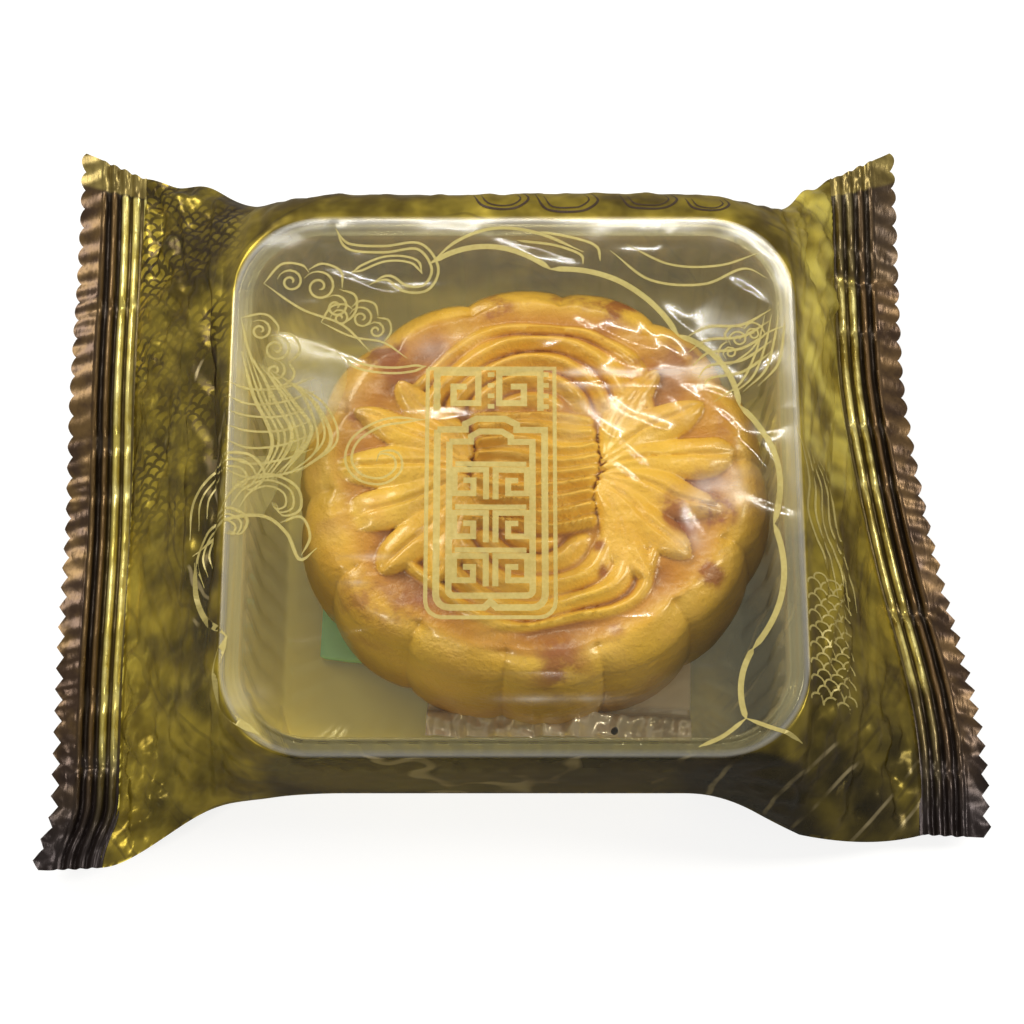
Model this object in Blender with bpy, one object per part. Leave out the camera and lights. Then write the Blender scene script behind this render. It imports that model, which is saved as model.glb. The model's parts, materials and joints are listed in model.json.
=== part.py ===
"""A mooncake in its sealed clear pack, as one solid out to the film.

The pack is a tube of film, drawn over a square tray with round corners and
crimped flat at both ends. It is modelled the way the film is made: a flat
grid with one column for each tooth of the cut ends, extruded into an upper
and a lower sheet that are then moved to where the film lies. Sizes are in
metres, +X runs from seal to seal and +Z is up. The origin is at the middle
of the pack's footprint, on the surface that it rests on.
"""

import math

import bmesh
import bpy

MM = 0.001

# Driving sizes of the wrapper and its crimped ends.
PACK_LENGTH = 145.0 * MM
TEETH = 36
TOOTH_PITCH = 3.25 * MM
TOOTH_DEPTH = 1.2 * MM
SEAL_WIDTH = 10.6 * MM
SEAL_THICKNESS = 0.8 * MM
SMOOTH_BAND = 3.8 * MM
RIB_PITCH = 1.7 * MM
RIB_HEIGHT = 0.3 * MM
ROWS_PER_RIB = 4

# Driving sizes of the tray inside it. The rim and the base are both whole
# numbers of tooth pitches wide, so that each edge falls on a column.
PACK_HEIGHT = 34.0 * MM
RIM_COLUMNS = 13
BASE_COLUMNS = 11
RIM_CORNER = 13.0 * MM
BASE_CORNER = 11.0 * MM
TRAY_X = 0.3 * MM
TRAY_Y = -6.8 * MM

# How the film hangs beside the tray: it is taut on the near side, and stands
# out from the rim on the far side.
SIDE_BULGE_NEAR = 0.6 * MM
SIDE_BULGE_FAR = 6.5 * MM
SEAM_HEIGHT_NEAR = 16.0 * MM
SEAM_HEIGHT_FAR = 28.0 * MM

# How late the film widens towards each end, on the near and on the far side.
FLARE_NEAR_LEFT = 3.0
FLARE_NEAR_RIGHT = 1.2
FLARE_FAR_LEFT = 2.6
FLARE_FAR_RIGHT = 4.5
GATHER_HEIGHT = 0.7 * MM
GATHER_COLUMNS = 6

# How the seals lie: how high, how they droop and wave, how far each is pulled
# in towards the tray away from its near end and over what length, and how far
# the near end of the right one is tucked back.
SEAL_LEVEL = 9.5 * MM
SEAL_DROOP = 2.2 * MM
SEAL_RISE_TO_FAR_END = 3.5 * MM
SEAL_WAVE = 0.7 * MM
LEFT_SEAL_PULL = 2.4 * MM
LEFT_PULL_REACH = 10.0 * MM
RIGHT_SEAL_PULL = 10.2 * MM
RIGHT_PULL_START = 6.5 * MM
RIGHT_PULL_REACH = 75.0 * MM
RIGHT_SEAL_TUCK = 5.0 * MM

HALF_COLUMNS = TEETH // 2
SEAL_HALF = HALF_COLUMNS * TOOTH_PITCH
SEAL_ROOT_X = PACK_LENGTH / 2 - TOOTH_DEPTH
SEAL_INNER_X = PACK_LENGTH / 2 - SEAL_WIDTH
RIM_HALF = RIM_COLUMNS * TOOTH_PITCH
BASE_HALF = BASE_COLUMNS * TOOTH_PITCH

# Where rows of vertices cross the tray and the slope beside it.
ROWS_INSIDE_RIM = [inside * MM for inside in (0.0, 0.4, 1.6, 3.6, 6.4, 9.4, 13.0, 21.0, 31.0)]
ROWS_DOWN_SLOPE = (0.2, 0.4, 0.6, 0.8)

FILM_COLOUR = (0.42, 0.34, 0.10, 1.0)
FILM_ROUGHNESS = 0.22
SHARP_ANGLE = math.radians(40)


def clear_scene():
    for thing in list(bpy.data.objects):
        bpy.data.objects.remove(thing)


def film_material():
    material = bpy.data.materials.new("gold_film")
    material.use_nodes = True
    shader = material.node_tree.nodes["Principled BSDF"]
    shader.inputs["Base Color"].default_value = FILM_COLOUR
    shader.inputs["Roughness"].default_value = FILM_ROUGHNESS
    return material


def ease(t):
    """Runs smoothly from 0 to 1 as t does."""
    t = min(max(t, 0.0), 1.0)
    return t * t * (3 - 2 * t)


def mix(a, b, t):
    return a + (b - a) * t


def rounded_half_width(x, half, corner):
    """Half the width in Y, at x, of a square with round corners."""
    past = min(max(abs(x) - (half - corner), 0.0), corner)
    return half - corner + math.sqrt(corner**2 - past**2)


def seal_level(x, y):
    """Height of the middle of a crimped end, which droops and waves a little."""
    outward = (abs(x) - SEAL_INNER_X) / SEAL_WIDTH
    along = y / SEAL_HALF
    wave = SEAL_WAVE * math.sin(2.5 * math.pi * along + math.copysign(1.0, x))
    return SEAL_LEVEL + SEAL_RISE_TO_FAR_END * along + wave - SEAL_DROOP * outward


def share_to_seal(x, half):
    """0 over a tray outline of this half size, rising to 1 at the seal."""
    side = math.copysign(1.0, x - TRAY_X)
    edge = TRAY_X + side * half
    return min(max((x - edge) / (side * SEAL_INNER_X - edge), 0.0), 1.0)


def gather(column, to_seal):
    """Shallow folds that the crimp draws into the slope beside the tray."""
    turn = 2 * math.pi * column / GATHER_COLUMNS
    return GATHER_HEIGHT * math.sin(turn) * math.sin(math.pi * to_seal)


def flare_power(x, side):
    """The power that sets how late the film widens in one corner of the pack."""
    if side > 0:
        return FLARE_FAR_LEFT if x < 0 else FLARE_FAR_RIGHT
    return FLARE_NEAR_LEFT if x < 0 else FLARE_NEAR_RIGHT


def section(x, column, half, corner, fold, level):
    """A point of one sheet of film, where it crosses the plane at x.

    The film lies flat at its level over the tray's outline, out to the fold
    column, and goes on from there to the seam part way up the side. Beyond
    the tray both parts widen and close until they are the seal.
    """
    to_seal = share_to_seal(x, half)
    spread = ease(share_to_seal(x, half - corner))
    side = -1 if column < 0 else 1
    bulge = SIDE_BULGE_FAR if side > 0 else SIDE_BULGE_NEAR
    seam_height = SEAM_HEIGHT_FAR if side > 0 else SEAM_HEIGHT_NEAR
    fold_y = mix(rounded_half_width(x - TRAY_X, half, corner), half, to_seal)
    seam_y = mix(RIM_HALF + bulge, SEAL_HALF, spread ** flare_power(x, side))
    to_fold = min(abs(column) / fold, 1.0)
    past_fold = max((abs(column) - fold) / (HALF_COLUMNS - fold), 0.0)
    y = mix(TRAY_Y, 0.0, ease(to_seal)) + side * mix(fold_y * to_fold, seam_y, past_fold)
    seal_z = seal_level(math.copysign(SEAL_INNER_X, x), y)
    flat_z = mix(level, seal_z, to_seal) + gather(column, to_seal)
    seam_z = mix(seam_height, seal_z, spread)
    return y, mix(flat_z, seam_z, past_fold)


def rib(x):
    """Height of the crimp's ribs, which run along the seal."""
    inward = SEAL_ROOT_X - SMOOTH_BAND - abs(x)
    if inward < 0 or abs(x) < SEAL_INNER_X:
        return 0.0
    return RIB_HEIGHT * math.sin(2 * math.pi * inward / RIB_PITCH)


def pulled_in(x, y):
    """How far the film at x is drawn towards the tray, away from the near end."""
    from_near_end = y + SEAL_HALF
    if x < 0:
        drawn = -LEFT_SEAL_PULL * ease(from_near_end / LEFT_PULL_REACH)
    else:
        drawn = RIGHT_SEAL_PULL * ease((from_near_end - RIGHT_PULL_START) / RIGHT_PULL_REACH)
    return drawn * share_to_seal(x, RIM_HALF)


def tucked_back(x, y):
    """How far the near end of the right seal is pushed away from the viewer."""
    if x < 0 or y > 0:
        return 0.0
    return RIGHT_SEAL_TUCK * ease(-y / SEAL_HALF) * share_to_seal(x, RIM_HALF)


def film_point(x, column, upper):
    """Where the upper or lower sheet is, at a row's x and a column."""
    half_gap = SEAL_THICKNESS / 2 if upper else -SEAL_THICKNESS / 2
    if abs(x) >= SEAL_INNER_X:
        y = column * TOOTH_PITCH
        z = seal_level(x, y) + rib(x) + half_gap
    elif upper:
        y, z = section(x, column, RIM_HALF, RIM_CORNER, RIM_COLUMNS, PACK_HEIGHT)
        z = min(z + half_gap, PACK_HEIGHT)
    else:
        y, z = section(x, column, BASE_HALF, BASE_CORNER, BASE_COLUMNS, 0.0)
        z = max(z + half_gap, 0.0)
    return x - pulled_in(x, y), y + tucked_back(x, y), z


def rows_of_one_side(side):
    """Distances from the middle of the rows between the tray and a cut end."""
    rows = [SEAL_ROOT_X, SEAL_ROOT_X - SMOOTH_BAND / 2]
    step = RIB_PITCH / ROWS_PER_RIB
    rib_rows = int((SEAL_ROOT_X - SMOOTH_BAND - SEAL_INNER_X) / step)
    rows += [SEAL_ROOT_X - SMOOTH_BAND - step * count for count in range(rib_rows)]
    rows.append(SEAL_INNER_X)
    rim = RIM_HALF + side * TRAY_X
    rows += [mix(rim, SEAL_INNER_X, share) for share in ROWS_DOWN_SLOPE]
    rows += [rim - inside for inside in ROWS_INSIDE_RIM]
    return rows


def sealed_pack():
    left_rows = [-x for x in rows_of_one_side(-1)]
    rows = sorted(left_rows + [TRAY_X] + rows_of_one_side(1))
    shape = bmesh.new()
    bmesh.ops.create_grid(shape, x_segments=len(rows) - 1, y_segments=TEETH, size=0.5)

    def flat_place(vertex):
        """The row and column of a vertex, read from the unit grid."""
        row = rows[round((vertex.co.x + 0.5) * (len(rows) - 1))]
        return row, round((vertex.co.y + 0.5) * TEETH) - HALF_COLUMNS

    upper = {vertex: flat_place(vertex) for vertex in shape.verts}
    extruded = bmesh.ops.extrude_face_region(shape, geom=shape.faces[:])["geom"]
    vertices = [item for item in extruded if isinstance(item, bmesh.types.BMVert)]
    lower = {vertex: flat_place(vertex) for vertex in vertices}
    place = {**upper, **lower}

    def is_cut_end(edge):
        first, second = (place[vertex] for vertex in edge.verts)
        return first[0] == second[0] and abs(first[0]) == SEAL_ROOT_X and first[1] != second[1]

    cut_ends = [edge for edge in shape.edges if is_cut_end(edge)]
    for sheet, is_upper in ((upper, True), (lower, False)):
        for vertex, (x, column) in sheet.items():
            vertex.co = film_point(x, column, is_upper)
    split = bmesh.ops.subdivide_edges(shape, edges=cut_ends, cuts=1)["geom_inner"]
    for tip in split:
        if isinstance(tip, bmesh.types.BMVert):
            tip.co.x += math.copysign(TOOTH_DEPTH, tip.co.x)

    bmesh.ops.recalc_face_normals(shape, faces=shape.faces[:])
    bmesh.ops.triangulate(shape, faces=shape.faces[:])
    mesh = bpy.data.meshes.new("pack")
    shape.to_mesh(mesh)
    shape.free()
    mesh.materials.append(film_material())
    mesh.shade_smooth()
    mesh.set_sharp_from_angle(angle=SHARP_ANGLE)
    bpy.context.scene.collection.objects.link(bpy.data.objects.new("pack", mesh))


clear_scene()
sealed_pack()
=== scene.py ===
# %% [markdown]
# # A mooncake in its sealed pack
#
# The real thing is a round cake pressed in a carved mould. It sits in a
# square clear tray, and a tube of thin film is drawn over both and crimped
# shut at each end. From above one looks through the film's clear window, past
# its pale gold print, at the cake. Round the window the film is tinted olive
# gold, and the crimped ends are bronze brown.
#
# The frame holds one plain solid for the whole pack. Here it is replaced by
# what one sees: film, print, tray, cake and the sachet under the cake.

import json
import math

import bpy
import numpy as np
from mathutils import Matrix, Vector


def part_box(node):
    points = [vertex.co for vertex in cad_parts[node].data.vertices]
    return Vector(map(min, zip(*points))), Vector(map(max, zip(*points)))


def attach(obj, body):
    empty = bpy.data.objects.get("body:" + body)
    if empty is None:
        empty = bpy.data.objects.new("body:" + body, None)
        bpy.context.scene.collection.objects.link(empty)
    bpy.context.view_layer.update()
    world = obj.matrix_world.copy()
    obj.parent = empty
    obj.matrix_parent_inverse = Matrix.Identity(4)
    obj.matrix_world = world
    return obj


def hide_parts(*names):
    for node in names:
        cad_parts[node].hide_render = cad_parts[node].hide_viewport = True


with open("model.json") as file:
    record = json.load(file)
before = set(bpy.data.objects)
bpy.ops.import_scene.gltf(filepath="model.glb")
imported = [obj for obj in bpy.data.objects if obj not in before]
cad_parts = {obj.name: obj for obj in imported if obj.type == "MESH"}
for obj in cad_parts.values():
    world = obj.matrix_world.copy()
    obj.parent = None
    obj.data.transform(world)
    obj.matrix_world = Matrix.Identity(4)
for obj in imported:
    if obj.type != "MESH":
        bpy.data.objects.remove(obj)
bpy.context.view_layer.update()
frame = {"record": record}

# %% [markdown]
# ## Sizes
#
# Everything below is worked out in millimetres, because a maker thinks of
# film and trays that way, and is turned into metres as a mesh is filled. The
# pack's outer sizes come from the frame. The rest are the driving sizes of
# the wrapper and the tray.

# %% Sizes of the pack
MM = 0.001

pack_low, pack_high = (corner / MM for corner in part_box("pack"))
PACK_TOP = pack_high.z
SEAL_HALF = pack_high.y
TIP_X = (pack_high.x - pack_low.x) / 2

rest_face = frame["record"]["mounts"][0]["pos_m"]
TRAY_X = rest_face[0] / MM
TRAY_Y = rest_face[1] / MM

TEETH = 36
HALF_COLUMNS = TEETH / 2
TOOTH_DEPTH = 1.2
SEAL_WIDTH = 10.6
SEAL_INNER = TIP_X - SEAL_WIDTH

RIM_HALF, RIM_CORNER, RIM_FOLD = 42.25, 13.0, 13.0
BASE_HALF, BASE_CORNER, BASE_FOLD = 35.75, 11.0, 11.0

print("pack top at", round(PACK_TOP, 2), "mm, seals", round(2 * SEAL_HALF, 1), "mm long")

# %% [markdown]
# ## Two helpers for formed sheets
#
# Film, tray and crust are all one skin that has been drawn, pressed or blown
# to shape. So each starts as a flat grid, and every vertex of the grid is
# moved to where that point of the skin ends up. A grid could be sculpted by
# hand, but a formula gives creases and ridges of a known size.

# %% Helpers for formed sheets
def ease(t):
    """Runs smoothly from 0 to 1 as t does."""
    t = np.clip(t, 0.0, 1.0)
    return t * t * (3 - 2 * t)


def mix(a, b, t):
    return a + (b - a) * t


def add_grid(name, cells_u, cells_v):
    """A flat unit grid, with each vertex's place in it as u and v from 0 to 1."""
    bpy.ops.object.select_all(action="DESELECT")
    bpy.ops.mesh.primitive_grid_add(x_subdivisions=cells_u, y_subdivisions=cells_v, size=1.0)
    piece = bpy.context.object
    piece.name = name
    piece.data.name = name
    flat = np.empty(len(piece.data.vertices) * 3)
    piece.data.vertices.foreach_get("co", flat)
    flat = flat.reshape(-1, 3) + 0.5
    return piece, flat[:, 0], flat[:, 1]


def fill_points(piece, points):
    """Moves a piece's vertices to these points, which are in millimetres."""
    piece.data.vertices.foreach_set("co", (points * MM).ravel())
    piece.data.update()


def store(piece, name, values):
    """Keeps one number for each vertex, for a material to read."""
    layer = piece.data.attributes.new(name, "FLOAT", "POINT")
    layer.data.foreach_set("value", np.asarray(values, dtype=np.float32))


def normals_of(shape, u, v, step=0.002):
    """Unit normals of a formed sheet, from points a short step apart."""
    across = shape(u + step, v) - shape(u - step, v)
    along = shape(u, v + step) - shape(u, v - step)
    normal = np.cross(across, along)
    return normal / np.maximum(np.linalg.norm(normal, axis=1, keepdims=True), 1e-9)


def weld(piece, distance=0.002):
    """Merges vertices that lie on each other and turns the faces outwards."""
    bpy.ops.object.select_all(action="DESELECT")
    piece.select_set(True)
    bpy.context.view_layer.objects.active = piece
    bpy.ops.object.mode_set(mode="EDIT")
    bpy.ops.mesh.select_all(action="SELECT")
    bpy.ops.mesh.remove_doubles(threshold=distance * MM)
    bpy.ops.mesh.normals_make_consistent(inside=False)
    bpy.ops.object.mode_set(mode="OBJECT")


def join(pieces, name):
    bpy.ops.object.select_all(action="DESELECT")
    for piece in pieces:
        piece.select_set(True)
    bpy.context.view_layer.objects.active = pieces[0]
    bpy.ops.object.join()
    pieces[0].name = name
    pieces[0].data.name = name
    return pieces[0]


def smooth(piece, angle):
    bpy.ops.object.select_all(action="DESELECT")
    piece.select_set(True)
    bpy.context.view_layer.objects.active = piece
    bpy.ops.object.shade_smooth_by_angle(angle=math.radians(angle))


def apply_modifiers(piece):
    bpy.ops.object.select_all(action="DESELECT")
    piece.select_set(True)
    bpy.context.view_layer.objects.active = piece
    for modifier in list(piece.modifiers):
        bpy.ops.object.modifier_apply(modifier=modifier.name)


def triangles(piece):
    return sum(len(face.vertices) - 2 for face in piece.data.polygons)


# %% [markdown]
# ## Creases
#
# Film that has been handled is full of creases: sharp along the middle, soft
# at both ends, and straight. One crease is a ridge whose height falls off
# sideways like a tent. A few dozen of them, strewn over a region with a fixed
# seed, read as crumpled film, and the flat facets between them catch light.

# %% Creases and facets
def crease(x, y, centre, angle, length, width, height):
    """A straight ridge: sharp across, fading along."""
    dx, dy = x - centre[0], y - centre[1]
    along = dx * math.cos(angle) + dy * math.sin(angle)
    across = -dx * math.sin(angle) + dy * math.cos(angle)
    fade = ease(1 - np.abs(along) / length)
    return height * fade * np.exp(-np.abs(across) / width)


def strewn_creases(x, y, seed, count, box, angles, lengths, widths, heights):
    """Many creases at seeded places in a box, within the given ranges."""
    chance = np.random.default_rng(seed)
    total = np.zeros_like(x)
    for _ in range(count):
        centre = (chance.uniform(box[0], box[1]), chance.uniform(box[2], box[3]))
        angle = math.radians(chance.uniform(*angles))
        length = chance.uniform(*lengths)
        width = chance.uniform(*widths)
        height = chance.uniform(*heights) * chance.choice((-1, 1))
        total += crease(x, y, centre, angle, length, width, height)
    return total


def facets(x, y, seed, count, slope, size):
    """Flat tilted facets between sharp edges, as in crushed foil."""
    chance = np.random.default_rng(seed)
    total = np.zeros_like(x)
    for _ in range(count):
        turn = chance.uniform(0, math.pi)
        phase = chance.uniform(0, size)
        pitch = size * chance.uniform(0.6, 1.6)
        bend = 0.6 * np.sin((x * math.sin(turn) - y * math.cos(turn)) / size + phase)
        place = (x * math.cos(turn) + y * math.sin(turn) + bend + phase) / pitch
        total += pitch * slope * (np.abs((place % 1.0) - 0.5) - 0.25)
    return total / math.sqrt(count)


def noise_wave(x, y, seed, size, octaves=3):
    """Slow unevenness from a few crossing waves, between about -1 and 1."""
    chance = np.random.default_rng(seed)
    total = np.zeros_like(x)
    for octave in range(octaves):
        for _ in range(4):
            turn = chance.uniform(0, 2 * math.pi)
            phase = chance.uniform(0, 2 * math.pi)
            reach = size / 2**octave * chance.uniform(0.8, 1.3)
            place = (x * math.cos(turn) + y * math.sin(turn)) / reach * 2 * math.pi
            total += np.sin(place + phase) / 2**octave
    return total / 4


# %% [markdown]
# ## The shape of the film
#
# The film is a tube that the machine flattens at both ends. Think of it as a
# flat sheet with one column for each tooth of the cut ends. Over the tray the
# columns lie flat out to the rim and then go down the side to a seam line.
# Towards the seal both parts spread out and close. The seam is one line for
# the upper and the lower sheet, so that the tube is shut. The frame's plain
# solid follows nearly the same rules, so the film fits it.

# %% Where the film lies
SIDE_BULGE_NEAR, SIDE_BULGE_FAR = 0.6, 6.5
SEAM_HEIGHT_NEAR, SEAM_HEIGHT_FAR = 16.0, 28.0
FLARE_NEAR_LEFT, FLARE_NEAR_RIGHT = 3.0, 1.2
FLARE_FAR_LEFT, FLARE_FAR_RIGHT = 2.6, 4.5
SEAL_LEVEL, SEAL_DROOP, SEAL_RISE, SEAL_WAVE = 9.5, 2.2, 3.5, 0.7
LEFT_PULL, LEFT_REACH = 2.4, 10.0
RIGHT_PULL, RIGHT_START, RIGHT_REACH = 10.2, 6.5, 75.0
RIGHT_TUCK = 5.0
CORNER_SLANT = 6.0
WINDOW_SAG = 0.9


def rounded_half_width(x, half, corner):
    """Half the width in Y, at x, of a square with round corners."""
    past = np.clip(np.abs(x) - (half - corner), 0.0, corner)
    return half - corner + np.sqrt(corner**2 - past**2)


def outside_square(x, y, half, corner):
    """Distance outside a square with round corners, less than 0 inside it."""
    qx = np.abs(x - TRAY_X) - (half - corner)
    qy = np.abs(y - TRAY_Y) - (half - corner)
    outer = np.hypot(np.maximum(qx, 0), np.maximum(qy, 0))
    return outer + np.minimum(np.maximum(qx, qy), 0) - corner


def seal_level(x, y):
    """Height of a crimped end, which droops and waves a little."""
    outward = (np.abs(x) - SEAL_INNER) / SEAL_WIDTH
    along = y / SEAL_HALF
    wave = SEAL_WAVE * np.sin(2.5 * math.pi * along + np.where(x > 0, 1.0, -1.0))
    return SEAL_LEVEL + SEAL_RISE * along + wave - SEAL_DROOP * outward


def share_to_seal(x, half):
    """0 over a tray outline of this half size, rising to 1 at the seal."""
    side = np.where(x >= TRAY_X, 1.0, -1.0)
    edge = TRAY_X + side * half
    return np.clip((x - edge) / (side * SEAL_INNER - edge), 0.0, 1.0)


def pulled_in(x, y):
    """How far the film at x is drawn towards the tray, away from the near end."""
    from_near_end = y + SEAL_HALF
    left = -LEFT_PULL * ease(from_near_end / LEFT_REACH)
    right = RIGHT_PULL * ease((from_near_end - RIGHT_START) / RIGHT_REACH)
    return np.where(x < 0, left, right) * share_to_seal(x, RIM_HALF)


def settled(x, y, z):
    """Where a point of the film ends up once the seals are pulled, tucked and slanted."""
    tuck = RIGHT_TUCK * ease(-y / SEAL_HALF) * share_to_seal(x, RIM_HALF) * (x > 0)
    inward = np.clip((TIP_X - np.abs(x)) / SEAL_WIDTH, 0, 1)
    slant = CORNER_SLANT * inward * ease((y - 46) / 12.5) * ease((np.abs(x) - 44) / 12)
    return np.stack((x - pulled_in(x, y), y + tuck - slant, z), axis=1)


def film_point(x, column, upper):
    """Smooth place of the film at a distance x along the tube and a column."""
    if upper:
        half, corner, fold, level = RIM_HALF, RIM_CORNER, RIM_FOLD, PACK_TOP
    else:
        half, corner, fold, level = BASE_HALF, BASE_CORNER, BASE_FOLD, 0.0
    far = column > 0
    side = np.where(far, 1.0, -1.0)
    to_seal = share_to_seal(x, half)
    spread = ease(share_to_seal(x, half - corner))
    seam_to_seal = share_to_seal(x, BASE_HALF)
    seam_spread = ease(share_to_seal(x, BASE_HALF - BASE_CORNER))
    bulge = np.where(far, SIDE_BULGE_FAR, SIDE_BULGE_NEAR)
    seam_height = np.where(far, SEAM_HEIGHT_FAR, SEAM_HEIGHT_NEAR)
    fold_y = mix(rounded_half_width(x - TRAY_X, half, corner), half, to_seal)
    far_power = np.where(x < 0, FLARE_FAR_LEFT, FLARE_FAR_RIGHT)
    near_power = np.where(x < 0, FLARE_NEAR_LEFT, FLARE_NEAR_RIGHT)
    seam_y = mix(RIM_HALF + bulge, SEAL_HALF, seam_spread ** np.where(far, far_power, near_power))
    to_fold = np.clip(np.abs(column) / fold, 0, 1)
    past = np.clip((np.abs(column) - fold) / (HALF_COLUMNS - fold), 0, 1)
    bow = (0.8 if upper else 0.35) * (1 - spread)
    out_share = mix(past, np.sin(past * math.pi / 2), bow)
    down_share = mix(past, 1 - np.cos(past * math.pi / 2), bow)
    middle = mix(TRAY_Y, 0.0, mix(ease(to_seal), ease(seam_to_seal), past))
    y = middle + side * (fold_y * to_fold + (seam_y - fold_y) * out_share)
    seal_z = seal_level(np.where(x > 0, SEAL_INNER, -SEAL_INNER), y)
    flat_z = mix(level, seal_z, to_seal)
    seam_z = mix(seam_height, seal_z, seam_spread)
    z = mix(flat_z, seam_z, down_share)
    return settled(x, y, z)


# %% [markdown]
# ## Wrinkles in the film
#
# Each region has its own kind. The window is nearly taut, with a slight sag
# and a few long shallow ridges. The slopes between rim and seal are gathered
# by the crimp and folded parallel to it. The corners, where a square tray
# meets a flat end, are crushed into facets. Painted shade and light in the
# film's tint follow the same regions, and a few spots of the window are made
# whiter, partly as haze and partly as painted reflections and glare.

# %% Wrinkles, and painted shade and light by region
MIDDLE_SHADE, PALEST_SHADE = 0.32, -0.22


def film_wrinkles(place):
    """Height of the wrinkles above the smooth film, at points of the film."""
    x, y, z = place.T
    outside = outside_square(x, y, RIM_HALF, RIM_CORNER)
    window = ease(-outside / 3.0)
    slope = ease(outside / 2.5)
    beyond = np.abs(x - TRAY_X) - RIM_HALF
    seal_near = ease((SEAL_INNER - np.abs(x)) / 3.0)

    sag = -WINDOW_SAG * ease(-outside / 24.0)
    taut = strewn_creases(
        x, y, 3, 30, (-40, 40, -46, 36), (-25, 25), (8, 26), (0.6, 1.6), (0.05, 0.2)
    )
    taut += strewn_creases(
        x, y, 9, 26, (8, 40, -16, 24), (90, 160), (4, 13), (0.5, 1.1), (0.12, 0.4)
    )
    taut += strewn_creases(
        x, y, 14, 40, (-42, 42, -49, 35), (0, 180), (3, 9), (0.4, 0.8), (0.1, 0.3)
    ) * ease((outside + 9) / 6)
    for shift in (0.0, 1.1, 2.6):
        centre = (TRAY_X + 19 - shift, TRAY_Y + 17.2 - shift)
        taut += crease(x, y, centre, math.radians(-1), 13, 0.35, 0.24)
    total = window * (sag + taut + 0.16 * noise_wave(x, y, 5, 26.0))

    folds = strewn_creases(
        x, y, 11, 44, (-60, -43, -58, 50), (80, 102), (10, 40), (0.4, 1.0), (0.3, 1.1)
    )
    folds += strewn_creases(
        x, y, 12, 52, (43, 60, -58, 50), (72, 98), (12, 44), (0.4, 1.0), (0.3, 1.1)
    )
    folds += crease(x, y, (-45.6, 2.0), math.radians(92), 46, 1.2, -2.2)
    folds += crease(x, y, (-48.4, -4.0), math.radians(91), 40, 0.6, 0.9)
    folds += crease(x, y, (49.0, -8.0), math.radians(82), 46, 0.8, 1.2)
    crushed = facets(x, y, 21, 7, 0.35, 5.5) + 0.8 * facets(x, y, 27, 6, 0.5, 2.8)
    corner = ease((np.hypot(x - TRAY_X, y - TRAY_Y) - 57) / 9)
    near_side = ease((TRAY_Y - y - 42) / 2)
    crush = np.clip(0.1 + corner + 0.4 * near_side, 0, 1.3)
    total += slope * seal_near * (folds * ease(beyond) + crush * crushed)
    side_ripple = facets(x, z * 1.5 + y, 33, 5, 0.2, 6.0)
    total += 0.8 * slope * ease((z - 2) / 6) * seal_near * side_ripple
    return total


def film_tint_with_painted_shade(place):
    """How dark the film's tint is: pale on the far side, and dark on the near side as painted shade.
    Painted shade also lies in the valley beside the left rim, painted light on the right panel and a
    painted highlight at the near left corner; the tint is darker towards the near right and on the left
    panel.
    """
    x, y, _ = place.T
    across, along = x - TRAY_X, y - TRAY_Y
    # Painted shade: the near side of the film goes dark.
    near_side = 1.3 * ease((-along - 40.8) / 1.6) * ease((46 - np.abs(across)) / 12)
    near_right = ease((across - 26) / 22) * ease((-along - 12) / 34)
    # Painted shade in the folded valley beside the left rim.
    painted_valley_shade = np.exp(-(((across + 45.6) / 2.0) ** 2)) * ease((34 - np.abs(along + 4)) / 12)
    # Painted light: the right panel is paler.
    painted_light_right_panel = ease((across - 40) / 4) * ease((along + 10) / 20)
    left_gold = ease((-across - 52) / 6)
    left_panel = ease((-across - 40) / 4)
    uneven = 0.34 * noise_wave(x, y, 23, 9.0, 3) * np.maximum(left_panel, 0.4)
    # Painted highlight: pale facets at the near left corner.
    painted_corner_highlight = np.exp(-(((across + 38) / 5) ** 2) - ((along + 44) / 2.4) ** 2)
    darker = 0.7 * near_side + 0.5 * near_right + 0.5 * painted_valley_shade + 0.18 * left_panel
    paler = 1.1 * painted_corner_highlight + 0.42 * painted_light_right_panel + 0.2 * left_gold
    return np.clip(MIDDLE_SHADE + darker - paler + uneven, PALEST_SHADE, 1)


def lower_tint_painted_light_and_shade(place):
    """The same for the lower sheet: pale below as painted light, with a dark near right corner as painted
    shade, and an uneven tint up the walls.
    """
    x, y, z = place.T
    # Painted light under the tray, with painted shade towards the near right corner.
    below = -0.45 + 1.4 * ease((x - TRAY_X - 20) / 18) * ease((10 - y + TRAY_Y) / 25)
    beside = 0.16 + 0.2 * noise_wave(x, z, 25, 11.0, 3)
    return mix(below, beside, ease((z - 4) / 12))


# Whiter spots of the window, partly haze where the film rests on the cake and
# partly painted reflections, with long narrow ones as painted glare streaks:
# place from the tray's middle, reach, strength and how many times wider than deep.
HAZE_AND_GLARE_SPOTS = [
    (-29.5, 13.5, 4.4, 1.0, 1.0), (-32.0, 20.0, 3.4, 0.5, 1.0), (31.5, -1.0, 4.2, 0.8, 1.0),
    (27.5, -3.5, 3.2, 0.6, 1.0), (25.5, -10.0, 2.6, 0.8, 1.0), (14.0, 10.5, 3.4, 0.5, 2.2),
    (27.5, 17.5, 4.0, 0.6, 1.2), (-12.0, 20.5, 3.0, 0.5, 1.0), (-19.0, 22.0, 2.2, 0.4, 1.4),
    (-36.0, 38.4, 1.4, 1.0, 2.4), (-38.5, -33.0, 3.0, 0.5, 1.0), (31.0, 24.0, 4.0, 0.35, 1.6),
    (19.0, 17.0, 0.8, 1.0, 14.0), (12.0, 14.6, 0.6, 0.7, 10.0), (-21.0, -12.0, 0.7, 0.7, 4.0),
    (-23.0, -16.0, 0.6, 0.6, 3.0), (6.0, -33.5, 0.7, 0.6, 12.0), (36.0, 8.0, 2.0, 0.4, 0.7),
]


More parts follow.
